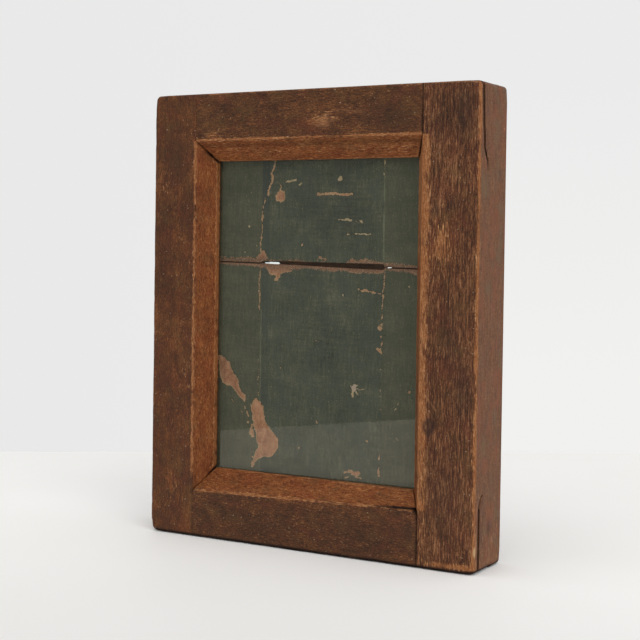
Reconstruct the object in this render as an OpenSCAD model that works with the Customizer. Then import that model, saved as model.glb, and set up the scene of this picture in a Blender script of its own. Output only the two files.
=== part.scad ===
// Contact printing frame in wood, for one glass plate.
// It stands upright on its bottom edge: X across, Z up, the front face towards -Y.
// The origin is the centre of the footprint, at the bottom.

/* [Plate] */
// Width of the glass pane
plate_w = 120.6; // [105:0.1:180]
// Height of the glass pane
plate_h = 165.1; // [140:0.1:240]
// Thickness of the glass pane
plate_t = 2; // [1.5:0.1:3]
// Space between the pane and the rebate on each side
plate_clear = 0.7; // [0.3:0.1:1.5]

/* [Frame members] */
// Depth of the frame from front to back
frame_d = 32; // [29:0.5:45]
// Flat front face of the left stile
left_face = 25.6; // [18:0.1:40]
// Flat front face of the right stile
right_face = 28; // [18:0.1:40]
// Flat front face of the top rail
top_face = 23.8; // [16:0.1:40]
// Flat front face of the bottom rail, at the middle of its length
bottom_face = 24.4; // [16:0.1:40]
// Width of the bevel on the stiles
stile_bevel = 6.8; // [4:0.1:9]
// Width of the bevel on the rails
rail_bevel = 9.8; // [7:0.1:12]
// Depth of the bevel from the front face
bevel_depth = 9.6; // [7:0.1:11]
// Square edge left under the bevel, in front of the glass
lip_edge = 2.8; // [2:0.1:4]
// How far the lip laps over the pane at the sides
side_lip = 3.9; // [2:0.1:5]
// How far the lip laps over the pane at the ends
end_lip = 4.45; // [2:0.05:5]
// How much the hand-cut bevel of the bottom rail climbs from left to right
bevel_climb = 3; // [0:0.1:4]

/* [Corner joints] */
// Thickness of the stile's cheek in front of the tenon
cheek = 6.2; // [4:0.1:6.8]
// Open line in each joint
joint_gap = 0.1; // [0.05:0.01:0.2]

/* [Back board] */
// Thickness of the back board
board_t = 8; // [6:0.5:9]
// Space between the board and the rebate at the sides
board_clear = 0.9; // [0.5:0.1:1.5]
// Space under the board where it stands in the rebate
rest_gap = 0.15; // [0.1:0.05:0.4]
// Space between the upper leaf's top corner and the rebate as the leaf swings
swing_gap = 0.3; // [0.2:0.05:0.8]
// Space for the paper between the glass and the lining
print_gap = 0.1; // [0.1:0.05:0.4]
// Thickness of the lining
lining_t = 0.4; // [0.2:0.1:0.8]
// Margin of the lining inside the board's outline
lining_margin = 0.3; // [0.1:0.1:1]
// Height of the split between the leaves above the bottom of the rebate
split_up = 109.7; // [85:0.1:118]
// Tilt of the split, in degrees, down towards the right
split_tilt = 0.75; // [0:0.05:1]
// Open line between the cleats at the split
cleat_gap = 0.6; // [0.3:0.1:1.2]
// How far the upper panel has shrunk back from the split
upper_shrink = 1.5; // [0.4:0.1:2]
// How far the lower panel has shrunk back at its left end
lower_shrink_left = 0.4; // [0.4:0.1:2]
// How far the lower panel has shrunk back at its right end
lower_shrink_right = 1.5; // [0.4:0.1:2]
// Width of the left cleats
left_cleat = 27.7; // [18:0.1:34]
// Width of the right cleats
right_cleat = 23.8; // [18:0.1:34]
// Length of the panel's tongues
tongue_l = 6; // [3:0.1:10]
// Thickness of the panel's tongues
tongue_t = 2.6; // [1.5:0.1:3.5]

/* [Hinge] */
// Length of the hinge
hinge_l = 60; // [40:1:80]
// Place of the hinge's middle, right of the board's middle
hinge_shift = 4.2; // [-8:0.1:8]
// Width of each hinge plate from the pin's axis
hinge_leaf_w = 12; // [10:0.5:16]
// Thickness of the hinge plates
hinge_t = 1; // [0.6:0.1:1.4]
// Radius of the knuckles
knuckle_r = 2; // [1.8:0.1:2.5]
// Number of knuckles
knuckles = 5; // [3:2:9]
// Space between two knuckles
knuckle_gap = 0.15; // [0.1:0.05:0.4]
// Radius of the hinge pin
pin_r = 1; // [0.7:0.1:1.2]
// Running clearance of the knuckles on the pin
pin_clear = 0.05; // [0.02:0.01:0.1]

/* [Springs] */
// Width of the bow springs
spring_w = 10; // [7:0.5:12]
// Thickness of the bow springs
spring_t = 0.8; // [0.6:0.1:1.2]
// Radius of the round boss in the middle of a spring
spring_boss_r = 7.5; // [6.5:0.5:9]
// How far each tip reaches past the rebate into its notch
tip_reach = 5; // [3:0.1:6]
// How far the springs are turned off their catches at rest, in degrees
spring_turn = 11.5; // [11:0.5:13]
// Further turn that the notches leave, in degrees
spring_room = 2; // [1:0.5:3]
// Height of the upper rivet above the split
upper_rivet_up = 31.2; // [31:0.1:32]
// Height of the lower rivet above the bottom of the rebate
lower_rivet_up = 55; // [35:0.5:60]
// Radius of the rivets
rivet_r = 2; // [1.5:0.1:2.5]
// Radius of the rivet heads
rivet_head_r = 4.2; // [3.5:0.1:5.5]
// Radius of the washers under the springs
washer_r = 5.2; // [4.5:0.1:6]
// Thickness of the washers
washer_t = 0.6; // [0.4:0.1:1]
// Running clearance of a spring on its rivet
rivet_clear = 0.05; // [0.02:0.01:0.1]
// Face clearance above and below a spring at its rivet
face_clear = 0.12; // [0.1:0.01:0.3]

/* [Catches] */
// Thickness of the catch plates
catch_t = 1.2; // [0.8:0.1:1.5]
// Width of the catch plates from the rebate outwards
catch_w = 14; // [12:0.5:17]
// Height of a catch plate past the middle of its spring
catch_cover = 6; // [5.5:0.1:7]
// Height of a catch plate on the other side of that middle
catch_hold = 13; // [11:0.5:16]
// Clearance of a catch plate in its bed
catch_fit = 0.1; // [0.05:0.05:0.3]
// Clearance between a spring's tip and the catch plate over it
latch_gap = 0.25; // [0.2:0.05:0.5]
// Depth of the notches from the back face
notch_h = 4.6; // [4:0.1:6]
// Space around a spring's tip in its notch
notch_clear = 0.6; // [0.4:0.1:1]
// Extra height of a notch, where the tip drops as the leaf swings out
notch_drop = 1.9; // [1.9:0.1:4]

/* [Screws] */
// Radius of the screw heads
screw_head_r = 2; // [1.6:0.1:2.2]
// Radius of the screw shanks
screw_r = 1; // [0.7:0.1:1.2]
// Length of the hinge screws
hinge_screw_l = 6; // [4:0.5:7]
// Length of the catch screws
catch_screw_l = 9; // [6:0.5:12]
// Width of the slots in the screw heads
slot_w = 0.5; // [0.3:0.1:0.8]
// Gap between the screws and the metal that they hold
screw_clear = 0.03; // [0.02:0.01:0.1]

/* [Hidden] */
$fn = 64;
past = 1;

// Places across the frame. The left and right stiles differ, so the opening is off centre.
frame_w = left_face + right_face + 2 * stile_bevel + plate_w - 2 * side_lip;
frame_h = top_face + bottom_face + 2 * rail_bevel + plate_h - 2 * end_lip;
outer_left = -frame_w / 2;
outer_right = frame_w / 2;
face_left = outer_left + left_face;
face_right = outer_right - right_face;
sight_left = face_left + stile_bevel;
sight_right = face_right - stile_bevel;
rebate_left = sight_left - side_lip - plate_clear;
rebate_right = sight_right + side_lip + plate_clear;
middle_x = (rebate_left + rebate_right) / 2;

// Heights above the bottom edge
face_top = frame_h - top_face;
face_bottom = bottom_face;
face_bottom_left = face_bottom - bevel_climb / 2;
face_bottom_right = face_bottom + bevel_climb / 2;
sight_top = face_top - rail_bevel;
sight_bottom = face_bottom + rail_bevel;
rebate_top = sight_top + end_lip + plate_clear;
rebate_bottom = sight_bottom - end_lip - plate_clear;
bevel_slope = rail_bevel / bevel_depth;

// The tenons of the bottom rail were cut before its bevel, to one height at both ends
nose_bottom = face_bottom_left;
root_l = 8;

// Depths behind the front face
shoulder = bevel_depth + lip_edge;
lining_front = shoulder + plate_t + print_gap;
board_front = lining_front + lining_t;
board_back = board_front + board_t;
pin_depth = board_back + knuckle_r;

// The two leaves of the back board
split_z = rebate_bottom + split_up;
board_left = rebate_left + board_clear;
board_right = rebate_right - board_clear;
board_bottom = rebate_bottom + rest_gap;
swing_reach = rebate_top - split_z - swing_gap;
swing_lever = pin_depth - lining_front;
board_top = split_z + sqrt(swing_reach * swing_reach - swing_lever * swing_lever);
panel_left = board_left + left_cleat;
panel_right = board_right - right_cleat;
hinge_x = middle_x + hinge_shift;
hinge_screw_up = (knuckle_r + hinge_leaf_w) / 2 + 0.4;
hinge_screw_step = hinge_l / 2 - 7;

// The bow springs, which are arcs of a large circle
spring_half = (rebate_right - rebate_left) / 2 + tip_reach;
spring_seat = board_back + washer_t + face_clear;
tip_depth = frame_d - catch_t - latch_gap - spring_t;
spring_rise = tip_depth - spring_seat;
spring_bend_r = (spring_half * spring_half + spring_rise * spring_rise) / (2 * spring_rise);
upper_spring_z = split_z + upper_rivet_up;
lower_spring_z = rebate_bottom + lower_rivet_up;
head_seat = spring_seat + spring_t + face_clear;
head_rise = 1.7;
head_bend_r = (rivet_head_r * rivet_head_r + head_rise * head_rise) / (2 * head_rise);
foot_r = rivet_r + 1.4;
foot_t = 0.6;

// The notches that the springs' tips turn in, and the plates over them
furthest_turn = spring_turn + spring_room;
tip_swing = spring_half * sin(furthest_turn) + spring_w / 2 * cos(furthest_turn);
notch_far = tip_swing + notch_drop;
notch_near = spring_w / 2 + notch_clear;
notch_w = tip_reach + notch_clear;
catch_screw_x = (notch_w + catch_w) / 2;
catch_screw_far = -(catch_hold + notch_near) / 2;
catch_screw_near = catch_cover - screw_head_r - 1.2;

// Height of the split line at a place across the board
function split_at(x) = split_z - tan(split_tilt) * (x - middle_x);

// A plan outline of [x, depth] points, drawn out upwards
module upright(outline, low, high) {
    translate([0, -frame_d / 2, low])
        linear_extrude(high - low)
            polygon(outline);
}

// A side outline of [depth, z] points, drawn out to the right
module across(outline, left, right) {
    translate([left, -frame_d / 2, 0])
        rotate([90, 0, 90])
            linear_extrude(right - left)
                polygon(outline);
}

// A front outline, from one depth behind the front face to another
module through(front, back) {
    translate([0, back - frame_d / 2, 0])
        rotate([90, 0, 0])
            linear_extrude(back - front)
                children();
}

// A straight pin whose axis runs from front to back
module pin_through(x, z, r, front, back) {
    through(front, back)
        translate([x, z])
            circle(r);
}

// The side outline of a tenon. Its nose follows the bevel of its own rail.
function tenon_outline(face, sight, end, gap) =
    let (way = sign(sight - face))
    let (start = end - way * (gap > 0 ? past : 0))
    let (nose = face + way * (cheek * bevel_slope + gap))
    let (run = abs(sight - face) / bevel_slope)
    [
        [cheek - gap, start],
        [cheek - gap, nose],
        [run, sight + way * gap],
        [shoulder + gap, sight + way * gap],
        [shoulder + gap, start]
    ];

// The part of a stile's bevel that gives way to a rail at the mitre
module mitre_off_stile(face_x, sight_x, face_z, sight_z, end) {
    grow = 1.3;
    tip = [face_x + (sight_x - face_x) * grow, face_z + (sight_z - face_z) * grow];
    way = sign(end - sight_z);
    through(-past, shoulder)
        polygon([[face_x, face_z], tip, [tip[0], end + way * past], [face_x, end + way * past]]);
}

// The part of a rail's bevel that gives way to a stile at the mitre
module mitre_off_rail(face_x, sight_x, face_z, sight_z) {
    grow = 1.3;
    way = sign(sight_x - face_x);
    open = way * joint_gap * 2;
    tip = [face_x + open + (sight_x - face_x) * grow, face_z + (sight_z - face_z) * grow];
    through(-past, shoulder + past)
        polygon([
            [face_x + open, face_z],
            tip,
            [face_x - way * past, tip[1]],
            [face_x - way * past, face_z]
        ]);
}

// The notch for a spring's tip and the bed of the plate over it.
// wall is the rebate wall, out points away from the opening, turn is the tip's way at rest.
module notch_and_bed(wall, out, turn, z) {
    through(frame_d - notch_h, frame_d + past)
        polygon([
            [wall - out * past, z - turn * notch_near],
            [wall + out * notch_w, z - turn * notch_near],
            [wall + out * notch_w, z + turn * notch_far],
            [wall - out * past, z + turn * notch_far]
        ]);
    through(frame_d - catch_t, frame_d + past)
        polygon([
            [wall - out * past, z - turn * (catch_hold + catch_fit)],
            [wall + out * (catch_w + catch_fit), z - turn * (catch_hold + catch_fit)],
            [wall + out * (catch_w + catch_fit), z + turn * (catch_cover + catch_fit)],
            [wall - out * past, z + turn * (catch_cover + catch_fit)]
        ]);
    for (up = [catch_screw_far, catch_screw_near])
        pin_through(
            wall + out * catch_screw_x, z + turn * up,
            screw_r + screw_clear, frame_d - catch_screw_l - screw_clear, frame_d
        );
}

// A stile runs the full height and is slotted at both ends for the rails' tenons.
// mitre_low is where its bevel meets the bevel of the bottom rail on the front face.
module stile(outer, face, sight, wall, mitre_low) {
    out = sign(outer - sight);
    slot_left = min(face, outer + out * past);
    slot_right = max(face, outer + out * past);
    difference() {
        upright([
            [outer, 0],
            [face, 0],
            [sight, bevel_depth],
            [sight, shoulder],
            [wall, shoulder],
            [wall, frame_d],
            [outer, frame_d]
        ], 0, frame_h);
        mitre_off_stile(face, sight, mitre_low, sight_bottom, 0);
        mitre_off_stile(face, sight, face_top, sight_top, frame_h);
        across(tenon_outline(nose_bottom, sight_bottom, 0, joint_gap), slot_left, slot_right);
        across(tenon_outline(face_top, sight_top, frame_h, joint_gap), slot_left, slot_right);
        for (z = [upper_spring_z, lower_spring_z])
            notch_and_bed(wall, out, out, z);
    }
}

module left_stile() {
    color("saddlebrown")
        stile(outer_left, face_left, sight_left, rebate_left, face_bottom_left);
}

module right_stile() {
    color("sienna")
        stile(outer_right, face_right, sight_right, rebate_right, face_bottom_right);
}

// Both tenons of a rail, with the root that ties each to the rail
module tenons(nose, sight, end) {
    across(tenon_outline(nose, sight, end, 0), outer_left, face_left);
    across(tenon_outline(nose, sight, end, 0), face_right, outer_right);
    root = [[cheek, end], [cheek, nose], [shoulder, nose], [shoulder, end]];
    for (x = [face_left, face_right])
        across(root, x - root_l / 2, x + root_l / 2);
}

module top_rail() {
    color("peru")
        union() {
            difference() {
                across([
                    [0, frame_h],
                    [0, face_top],
                    [bevel_depth, sight_top],
                    [shoulder, sight_top],
                    [shoulder, frame_h]
                ], face_left + joint_gap, face_right - joint_gap);
                mitre_off_rail(face_left, sight_left, face_top, sight_top);
                mitre_off_rail(face_right, sight_right, face_top, sight_top);
            }
            across([
                [shoulder, rebate_top],
                [shoulder, frame_h],
                [frame_d, frame_h],
                [frame_d, rebate_top]
            ], rebate_left + joint_gap, rebate_right - joint_gap);
            tenons(face_top, sight_top, frame_h);
        }
}

// The bevel of the bottom rail was cut by hand, so its front line climbs to the right
module climbing_bevel() {
    span = face_right - face_left;
    climb = atan(bevel_climb / span);
    reach = bevel_depth * 3;
    translate([face_left, -frame_d / 2, face_bottom_left])
        rotate([0, -climb, 0])
            translate([-span / 4, 0, 0])
                rotate([90, 0, 90])
                    linear_extrude(span * 1.5)
                        polygon([
                            [-past, -past * bevel_slope],
                            [reach, reach * bevel_slope],
                            [-past, reach * bevel_slope]
                        ]);
}

module bottom_rail() {
    color("peru")
        union() {
            difference() {
                across([
                    [0, 0],
                    [0, sight_bottom],
                    [shoulder, sight_bottom],
                    [shoulder, 0]
                ], face_left + joint_gap, face_right - joint_gap);
                climbing_bevel();
                mitre_off_rail(face_left, sight_left, face_bottom_left, sight_bottom);
                mitre_off_rail(face_right, sight_right, face_bottom_right, sight_bottom);
            }
            across([
                [shoulder, 0],
                [shoulder, rebate_bottom],
                [frame_d, rebate_bottom],
                [frame_d, 0]
            ], rebate_left + joint_gap, rebate_right - joint_gap);
            tenons(nose_bottom, sight_bottom, 0);
        }
}

module glass_pane() {
    color("lightcyan", 0.4)
        through(shoulder, shoulder + plate_t)
            translate([middle_x - plate_w / 2, rebate_bottom])
                square([plate_w, plate_h]);
}

// The front outline of one board of a leaf, cut along the split.
// back_l and back_r are how far it stays back from the split at its left and right edges.
module board_outline(left, right, end, back_l, back_r) {
    way = sign(end - split_z);
    polygon([
        [left, end],
        [right, end],
        [right, split_at(right) + way * back_r],
        [left, split_at(left) + way * back_l]
    ]);
}

// Holes of a leaf for its rivet and its hinge screws
module leaf_holes(rivet_z, way) {
    pin_through(middle_x, rivet_z, rivet_r + rivet_clear, board_front - past, board_back + past);
    pin_through(middle_x, rivet_z, foot_r + rivet_clear, board_front - past, board_front + foot_t);
    for (x = [-hinge_screw_step, 0, hinge_screw_step])
        pin_through(
            hinge_x + x, split_z + way * hinge_screw_up,
            screw_r + screw_clear,
            board_back + hinge_t - hinge_screw_l - screw_clear, board_back + past
        );
}

// The middle board of a leaf, grain across, with a tongue at each end
module panel(end, rivet_z, back_l, back_r) {
    way = sign(end - split_z);
    tongue_front = board_front + (board_t - tongue_t) / 2;
    difference() {
        union() {
            through(board_front, board_back)
                board_outline(panel_left + joint_gap, panel_right - joint_gap, end, back_l, back_r);
            through(tongue_front, tongue_front + tongue_t)
                board_outline(panel_left - tongue_l, panel_right + tongue_l, end, back_l, back_r);
        }
        leaf_holes(rivet_z, way);
    }
}

// A cleat across the end of a panel, grooved for its tongue
module cleat(left, right, end, rivet_z) {
    way = sign(end - split_z);
    groove_front = board_front + (board_t - tongue_t) / 2 - joint_gap;
    groove_l = tongue_l + joint_gap;
    difference() {
        through(board_front, board_back)
            board_outline(left, right, end, cleat_gap / 2, cleat_gap / 2);
        through(groove_front, groove_front + tongue_t + 2 * joint_gap)
            translate([panel_left - groove_l, 0])
                square([panel_right - panel_left + 2 * groove_l, frame_h]);
        leaf_holes(rivet_z, way);
    }
}

// The lining stays back from the split and from the board's edges
module lining(end) {
    way = sign(end - split_z);
    back = max(upper_shrink, lower_shrink_right) + lining_margin;
    through(lining_front, board_front)
        board_outline(
            board_left + lining_margin, board_right - lining_margin,
            end - way * lining_margin, back, back
        );
}

module upper_panel() {
    color("burlywood") panel(board_top, upper_spring_z, upper_shrink, upper_shrink);
}

module upper_left_cleat() {
    color("tan") cleat(board_left, panel_left, board_top, upper_spring_z);
}

module upper_right_cleat() {
    color("tan") cleat(panel_right, board_right, board_top, upper_spring_z);
}

module upper_lining() {
    color("darkslategray") lining(board_top);
}

module lower_panel() {
    color("burlywood")
        panel(board_bottom, lower_spring_z, lower_shrink_left, lower_shrink_right);
}

module lower_left_cleat() {
    color("tan") cleat(board_left, panel_left, board_bottom, lower_spring_z);
}

module lower_right_cleat() {
    color("tan") cleat(panel_right, board_right, board_bottom, lower_spring_z);
}

module lower_lining() {
    color("darkslategray") lining(board_bottom);
}

// A round bar along the hinge's axis
module hinge_bar(left, right, r) {
    translate([left, pin_depth - frame_d / 2, split_z])
        rotate([0, 90, 0])
            cylinder(r = r, h = right - left);
}

// A countersunk seat whose wide end is at the given depth
module head_cone(x, z, top, r, foot) {
    translate([x, top - frame_d / 2, z])
        rotate([90, 0, 0])
            cylinder(r1 = r, r2 = foot, h = r - foot);
}

// A hinge plate and every second knuckle, starting with the first or the second
module hinge_leaf(way, first) {
    left = hinge_x - hinge_l / 2;
    step = hinge_l / knuckles;
    inner = knuckle_r + 0.25;
    difference() {
        union() {
            through(board_back, board_back + hinge_t)
                translate([left, split_z + (way > 0 ? inner : -hinge_leaf_w)])
                    square([hinge_l, hinge_leaf_w - inner]);
            for (i = [first : 2 : knuckles - 1]) {
                from = left + i * step + (i > 0 ? knuckle_gap / 2 : 0);
                to = left + (i + 1) * step - (i < knuckles - 1 ? knuckle_gap / 2 : 0);
                hinge_bar(from, to, knuckle_r);
                through(board_back, board_back + hinge_t)
                    translate([from, split_z + (way > 0 ? 0 : -inner - past)])
                        square([to - from, inner + past]);
            }
        }
        hinge_bar(left - past, left + hinge_l + past, pin_r + pin_clear);
        for (x = [-hinge_screw_step, 0, hinge_screw_step]) {
            z = split_z + way * hinge_screw_up;
            pin_through(
                hinge_x + x, z, screw_r + screw_clear,
                board_back - past, board_back + hinge_t + past
            );
            head_cone(
                hinge_x + x, z, board_back + hinge_t,
                screw_head_r + screw_clear, screw_r + screw_clear
            );
        }
    }
}

// A slotted wood screw with a countersunk head, driven in from the back
module wood_screw(x, z, top, length, slot_turn) {
    difference() {
        union() {
            pin_through(x, z, screw_r, top - length, top);
            head_cone(x, z, top, screw_head_r, screw_r);
        }
        through(top - slot_w, top + past)
            translate([x, z])
                rotate(slot_turn)
                    square([screw_head_r * 3, slot_w], center = true);
    }
}

module hinge_screws(way) {
    for (i = [-1 : 1])
        wood_screw(
            hinge_x + i * hinge_screw_step, split_z + way * hinge_screw_up,
            board_back + hinge_t, hinge_screw_l, 25 + 55 * i
        );
}

module hinge_leaf_upper() {
    color("dimgray") hinge_leaf(1, 1);
}

module hinge_leaf_lower() {
    color("dimgray") hinge_leaf(-1, 0);
}

module hinge_pin() {
    color("gray") hinge_bar(hinge_x - hinge_l / 2, hinge_x + hinge_l / 2, pin_r);
}

module hinge_screws_upper() {
    color("gray") hinge_screws(1);
}

module hinge_screws_lower() {
    color("gray") hinge_screws(-1);
}

// A bow spring: a flat strip on an arc, riveted through its middle.
// Its tips stand clear of the board and are turned off the catches.
module bow_spring(z) {
    round_end = spring_half - spring_w / 2;
    translate([middle_x, 0, z])
        rotate([0, -spring_turn, 0])
            difference() {
                intersection() {
                    through(spring_seat - past, frame_d)
                        union() {
                            square([2 * round_end, spring_w], center = true);
                            translate([round_end, 0]) circle(spring_w / 2);
                            translate([-round_end, 0]) circle(spring_w / 2);
                            circle(spring_boss_r);
                        }
                    translate([0, spring_seat + spring_bend_r - frame_d / 2, -frame_h])
                        difference() {
                            cylinder(r = spring_bend_r, h = 2 * frame_h);
                            cylinder(r = spring_bend_r - spring_t, h = 2 * frame_h);
                        }
                }
                pin_through(0, 0, rivet_r + rivet_clear, board_back, frame_d);
            }
}

module upper_spring() {
    color("slategray") bow_spring(upper_spring_z);
}

module lower_spring() {
    color("slategray") bow_spring(lower_spring_z);
}

// The rivet runs from its foot under the lining to a low round head over the spring
module spring_rivet(z) {
    head_centre = head_seat + head_rise - head_bend_r;
    pin_through(middle_x, z, rivet_r, board_front, head_seat + past / 2);
    pin_through(middle_x, z, foot_r, board_front, board_front + foot_t);
    intersection() {
        pin_through(middle_x, z, rivet_head_r, head_seat, frame_d);
        translate([middle_x, head_centre - frame_d / 2, z])
            sphere(head_bend_r);
    }
}

module upper_spring_rivet() {
    color("darkgoldenrod") spring_rivet(upper_spring_z);
}

module lower_spring_rivet() {
    color("darkgoldenrod") spring_rivet(lower_spring_z);
}

module spring_washer(z) {
    through(board_back, board_back + washer_t)
        translate([middle_x, z])
            difference() {
                circle(washer_r);
                circle(rivet_r + rivet_clear);
            }
}

module upper_spring_washer() {
    color("darkgoldenrod") spring_washer(upper_spring_z);
}

module lower_spring_washer() {
    color("darkgoldenrod") spring_washer(lower_spring_z);
}

// A catch plate let in flush over half of a notch
module catch_plate(wall, out, z) {
    color("goldenrod")
        difference() {
            through(frame_d - catch_t, frame_d)
                polygon([
                    [wall, z - out * catch_hold],
                    [wall + out * catch_w, z - out * catch_hold],
                    [wall + out * catch_w, z + out * catch_cover],
                    [wall, z + out * catch_cover]
                ]);
            for (up = [catch_screw_far, catch_screw_near]) {
                x = wall + out * catch_screw_x;
                pin_through(
                    x, z + out * up, screw_r + screw_clear,
                    frame_d - catch_t - past, frame_d + past
                );
                head_cone(
                    x, z + out * up, frame_d,
                    screw_head_r + screw_clear, screw_r + screw_clear
                );
            }
        }
}

module catch_upper_left() {
    catch_plate(rebate_left, -1, upper_spring_z);
}

module catch_upper_right() {
    catch_plate(rebate_right, 1, upper_spring_z);
}

module catch_lower_left() {
    catch_plate(rebate_left, -1, lower_spring_z);
}

module catch_lower_right() {
    catch_plate(rebate_right, 1, lower_spring_z);
}

module catch_screws() {
    color("gray")
        for (out = [-1, 1], z = [upper_spring_z, lower_spring_z]) {
            wall = out < 0 ? rebate_left : rebate_right;
            for (up = [catch_screw_far, catch_screw_near])
                wood_screw(
                    wall + out * catch_screw_x, z + out * up,
                    frame_d, catch_screw_l, 40 + up * 9 + z
                );
        }
}

left_stile();
right_stile();
top_rail();
bottom_rail();
glass_pane();
upper_panel();
upper_left_cleat();
upper_right_cleat();
upper_lining();
lower_panel();
lower_left_cleat();
lower_right_cleat();
lower_lining();
hinge_leaf_upper();
hinge_leaf_lower();
hinge_pin();
hinge_screws_upper();
hinge_screws_lower();
upper_spring();
lower_spring();
upper_spring_rivet();
lower_spring_rivet();
upper_spring_washer();
lower_spring_washer();
catch_upper_left();
catch_upper_right();
catch_lower_left();
catch_lower_right();
catch_screws();
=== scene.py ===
import math

import bmesh
import bpy
import numpy as np
from mathutils import Matrix, Vector


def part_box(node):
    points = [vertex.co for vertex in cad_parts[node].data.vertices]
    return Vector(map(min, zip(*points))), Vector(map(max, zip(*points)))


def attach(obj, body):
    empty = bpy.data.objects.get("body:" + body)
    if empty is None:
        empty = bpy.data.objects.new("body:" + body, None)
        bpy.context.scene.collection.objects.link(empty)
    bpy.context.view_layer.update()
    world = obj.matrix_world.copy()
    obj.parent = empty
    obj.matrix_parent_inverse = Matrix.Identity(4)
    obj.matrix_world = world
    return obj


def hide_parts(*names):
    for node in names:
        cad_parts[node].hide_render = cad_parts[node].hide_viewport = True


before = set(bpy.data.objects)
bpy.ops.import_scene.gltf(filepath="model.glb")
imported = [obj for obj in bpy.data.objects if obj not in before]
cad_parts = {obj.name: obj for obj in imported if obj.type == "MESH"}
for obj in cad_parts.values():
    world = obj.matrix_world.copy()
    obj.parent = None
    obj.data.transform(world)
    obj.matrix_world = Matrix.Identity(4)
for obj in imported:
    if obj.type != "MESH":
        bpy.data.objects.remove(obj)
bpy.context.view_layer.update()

MM = 0.001

# Sizes of the frame in millimetres: x across, depth behind the front face, z up
FACE_L, FACE_R = -64.4, 62.0
SIGHT_L, SIGHT_R = -57.6, 55.2
FACE_TOP, SIGHT_TOP = 200.2, 190.4
SOLID_LOW_L, SOLID_LOW_R, SIGHT_LOW = 22.9, 25.9, 34.2
# The lower bevel's outer line is a little higher than on the solids, as the photograph shows it
RAISED = 1.2
FACE_LOW_L, FACE_LOW_R = SOLID_LOW_L + RAISED, SOLID_LOW_R + RAISED
TOP, HALF_W, DEEP = 224.0, 90.0, 32.0
BEVEL, LIP = 9.6, 12.4
# Marks on the right side alone are those beyond this x
SIDE = 88.5

# The back: its outside, the joints of its cleats, its sloping split and its rivets
BOARD_L, BOARD_R, BOARD_LOW, BOARD_TOP = -61.3, 58.9, 29.2, 194.285
CLEAT_L, CLEAT_R = -33.6, 35.1
MIDDLE_X, SPLIT_Z, SPLIT_FALL = -1.2, 138.75, math.tan(math.radians(0.75))
UPPER_RIVET, LOWER_RIVET = 169.95, 84.05


# Shader maths
class Value:
    """A number or colour in a node tree. Sums on it add the nodes that work them out."""

    def __init__(self, nodes, socket):
        self.nodes, self.socket = nodes, socket

    def sum(self, operation, *others, clamp=False):
        settings = {"operation": operation, "use_clamp": clamp}
        return self.nodes.add("ShaderNodeMath", settings, dict(enumerate((self, *others))))[0]

    def __add__(self, other):
        return self.sum("ADD", other)

    __radd__ = __add__

    def __mul__(self, other):
        return self.sum("MULTIPLY", other)

    __rmul__ = __mul__

    def __sub__(self, other):
        return self.sum("SUBTRACT", other)

    def __rsub__(self, other):
        return (self * -1.0) + other

    def kept(self):
        """Held between 0 and 1."""
        return self.sum("ADD", 0.0, clamp=True)

    def largest(self, other):
        return self.sum("MAXIMUM", other)

    def ranged(self, *ends, curve="LINEAR"):
        """Goes from the third end to the fourth while the value goes from the first to the second."""
        sockets = dict(enumerate((self, *ends)))
        return self.nodes.add("ShaderNodeMapRange", {"interpolation_type": curve}, sockets)[0]

    def rise(self, low, high):
        """0 below low, 1 above high, and smooth between. It falls where low is above high."""
        turned = float(low > high)
        return self.ranged(min(low, high), max(low, high), turned, 1.0 - turned, curve="SMOOTHSTEP")


def paint(red, green, blue):
    """A colour given as screen values from 0 to 255."""
    return tuple(((c / 255 + 0.055) / 1.055) ** 2.4 if c > 10 else c / 3295 for c in (red, green, blue))


class Nodes:
    """A tree of shader nodes, and the one way they are made. Its colours are screen values."""

    def __init__(self, owner, output):
        owner.use_nodes = True
        self.tree = owner.node_tree
        self.tree.nodes.clear()
        self.output = self.tree.nodes.new(output)

    def add(self, kind, settings=None, sockets=None):
        """Makes a node, its settings first, and returns its outputs as values."""
        node = self.tree.nodes.new(kind)
        for key, setting in (settings or {}).items():
            setattr(node, key, setting)
        for key, given in (sockets or {}).items():
            if isinstance(given, Value):
                self.tree.links.new(given.socket, node.inputs[key])
            elif given is not None:
                node.inputs[key].default_value = given
        return [Value(self, out) for out in node.outputs]

    def blend(self, share, first, second):
        first, second = [c if isinstance(c, Value) else (*paint(*c), 1.0) for c in (first, second)]
        settings = {"data_type": "RGBA", "clamp_factor": True}
        return self.add("ShaderNodeMix", settings, {0: share, 6: first, 7: second})[2]

    def ends(self, shader):
        self.tree.links.new(shader.socket, self.output.inputs["Surface"])


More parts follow.
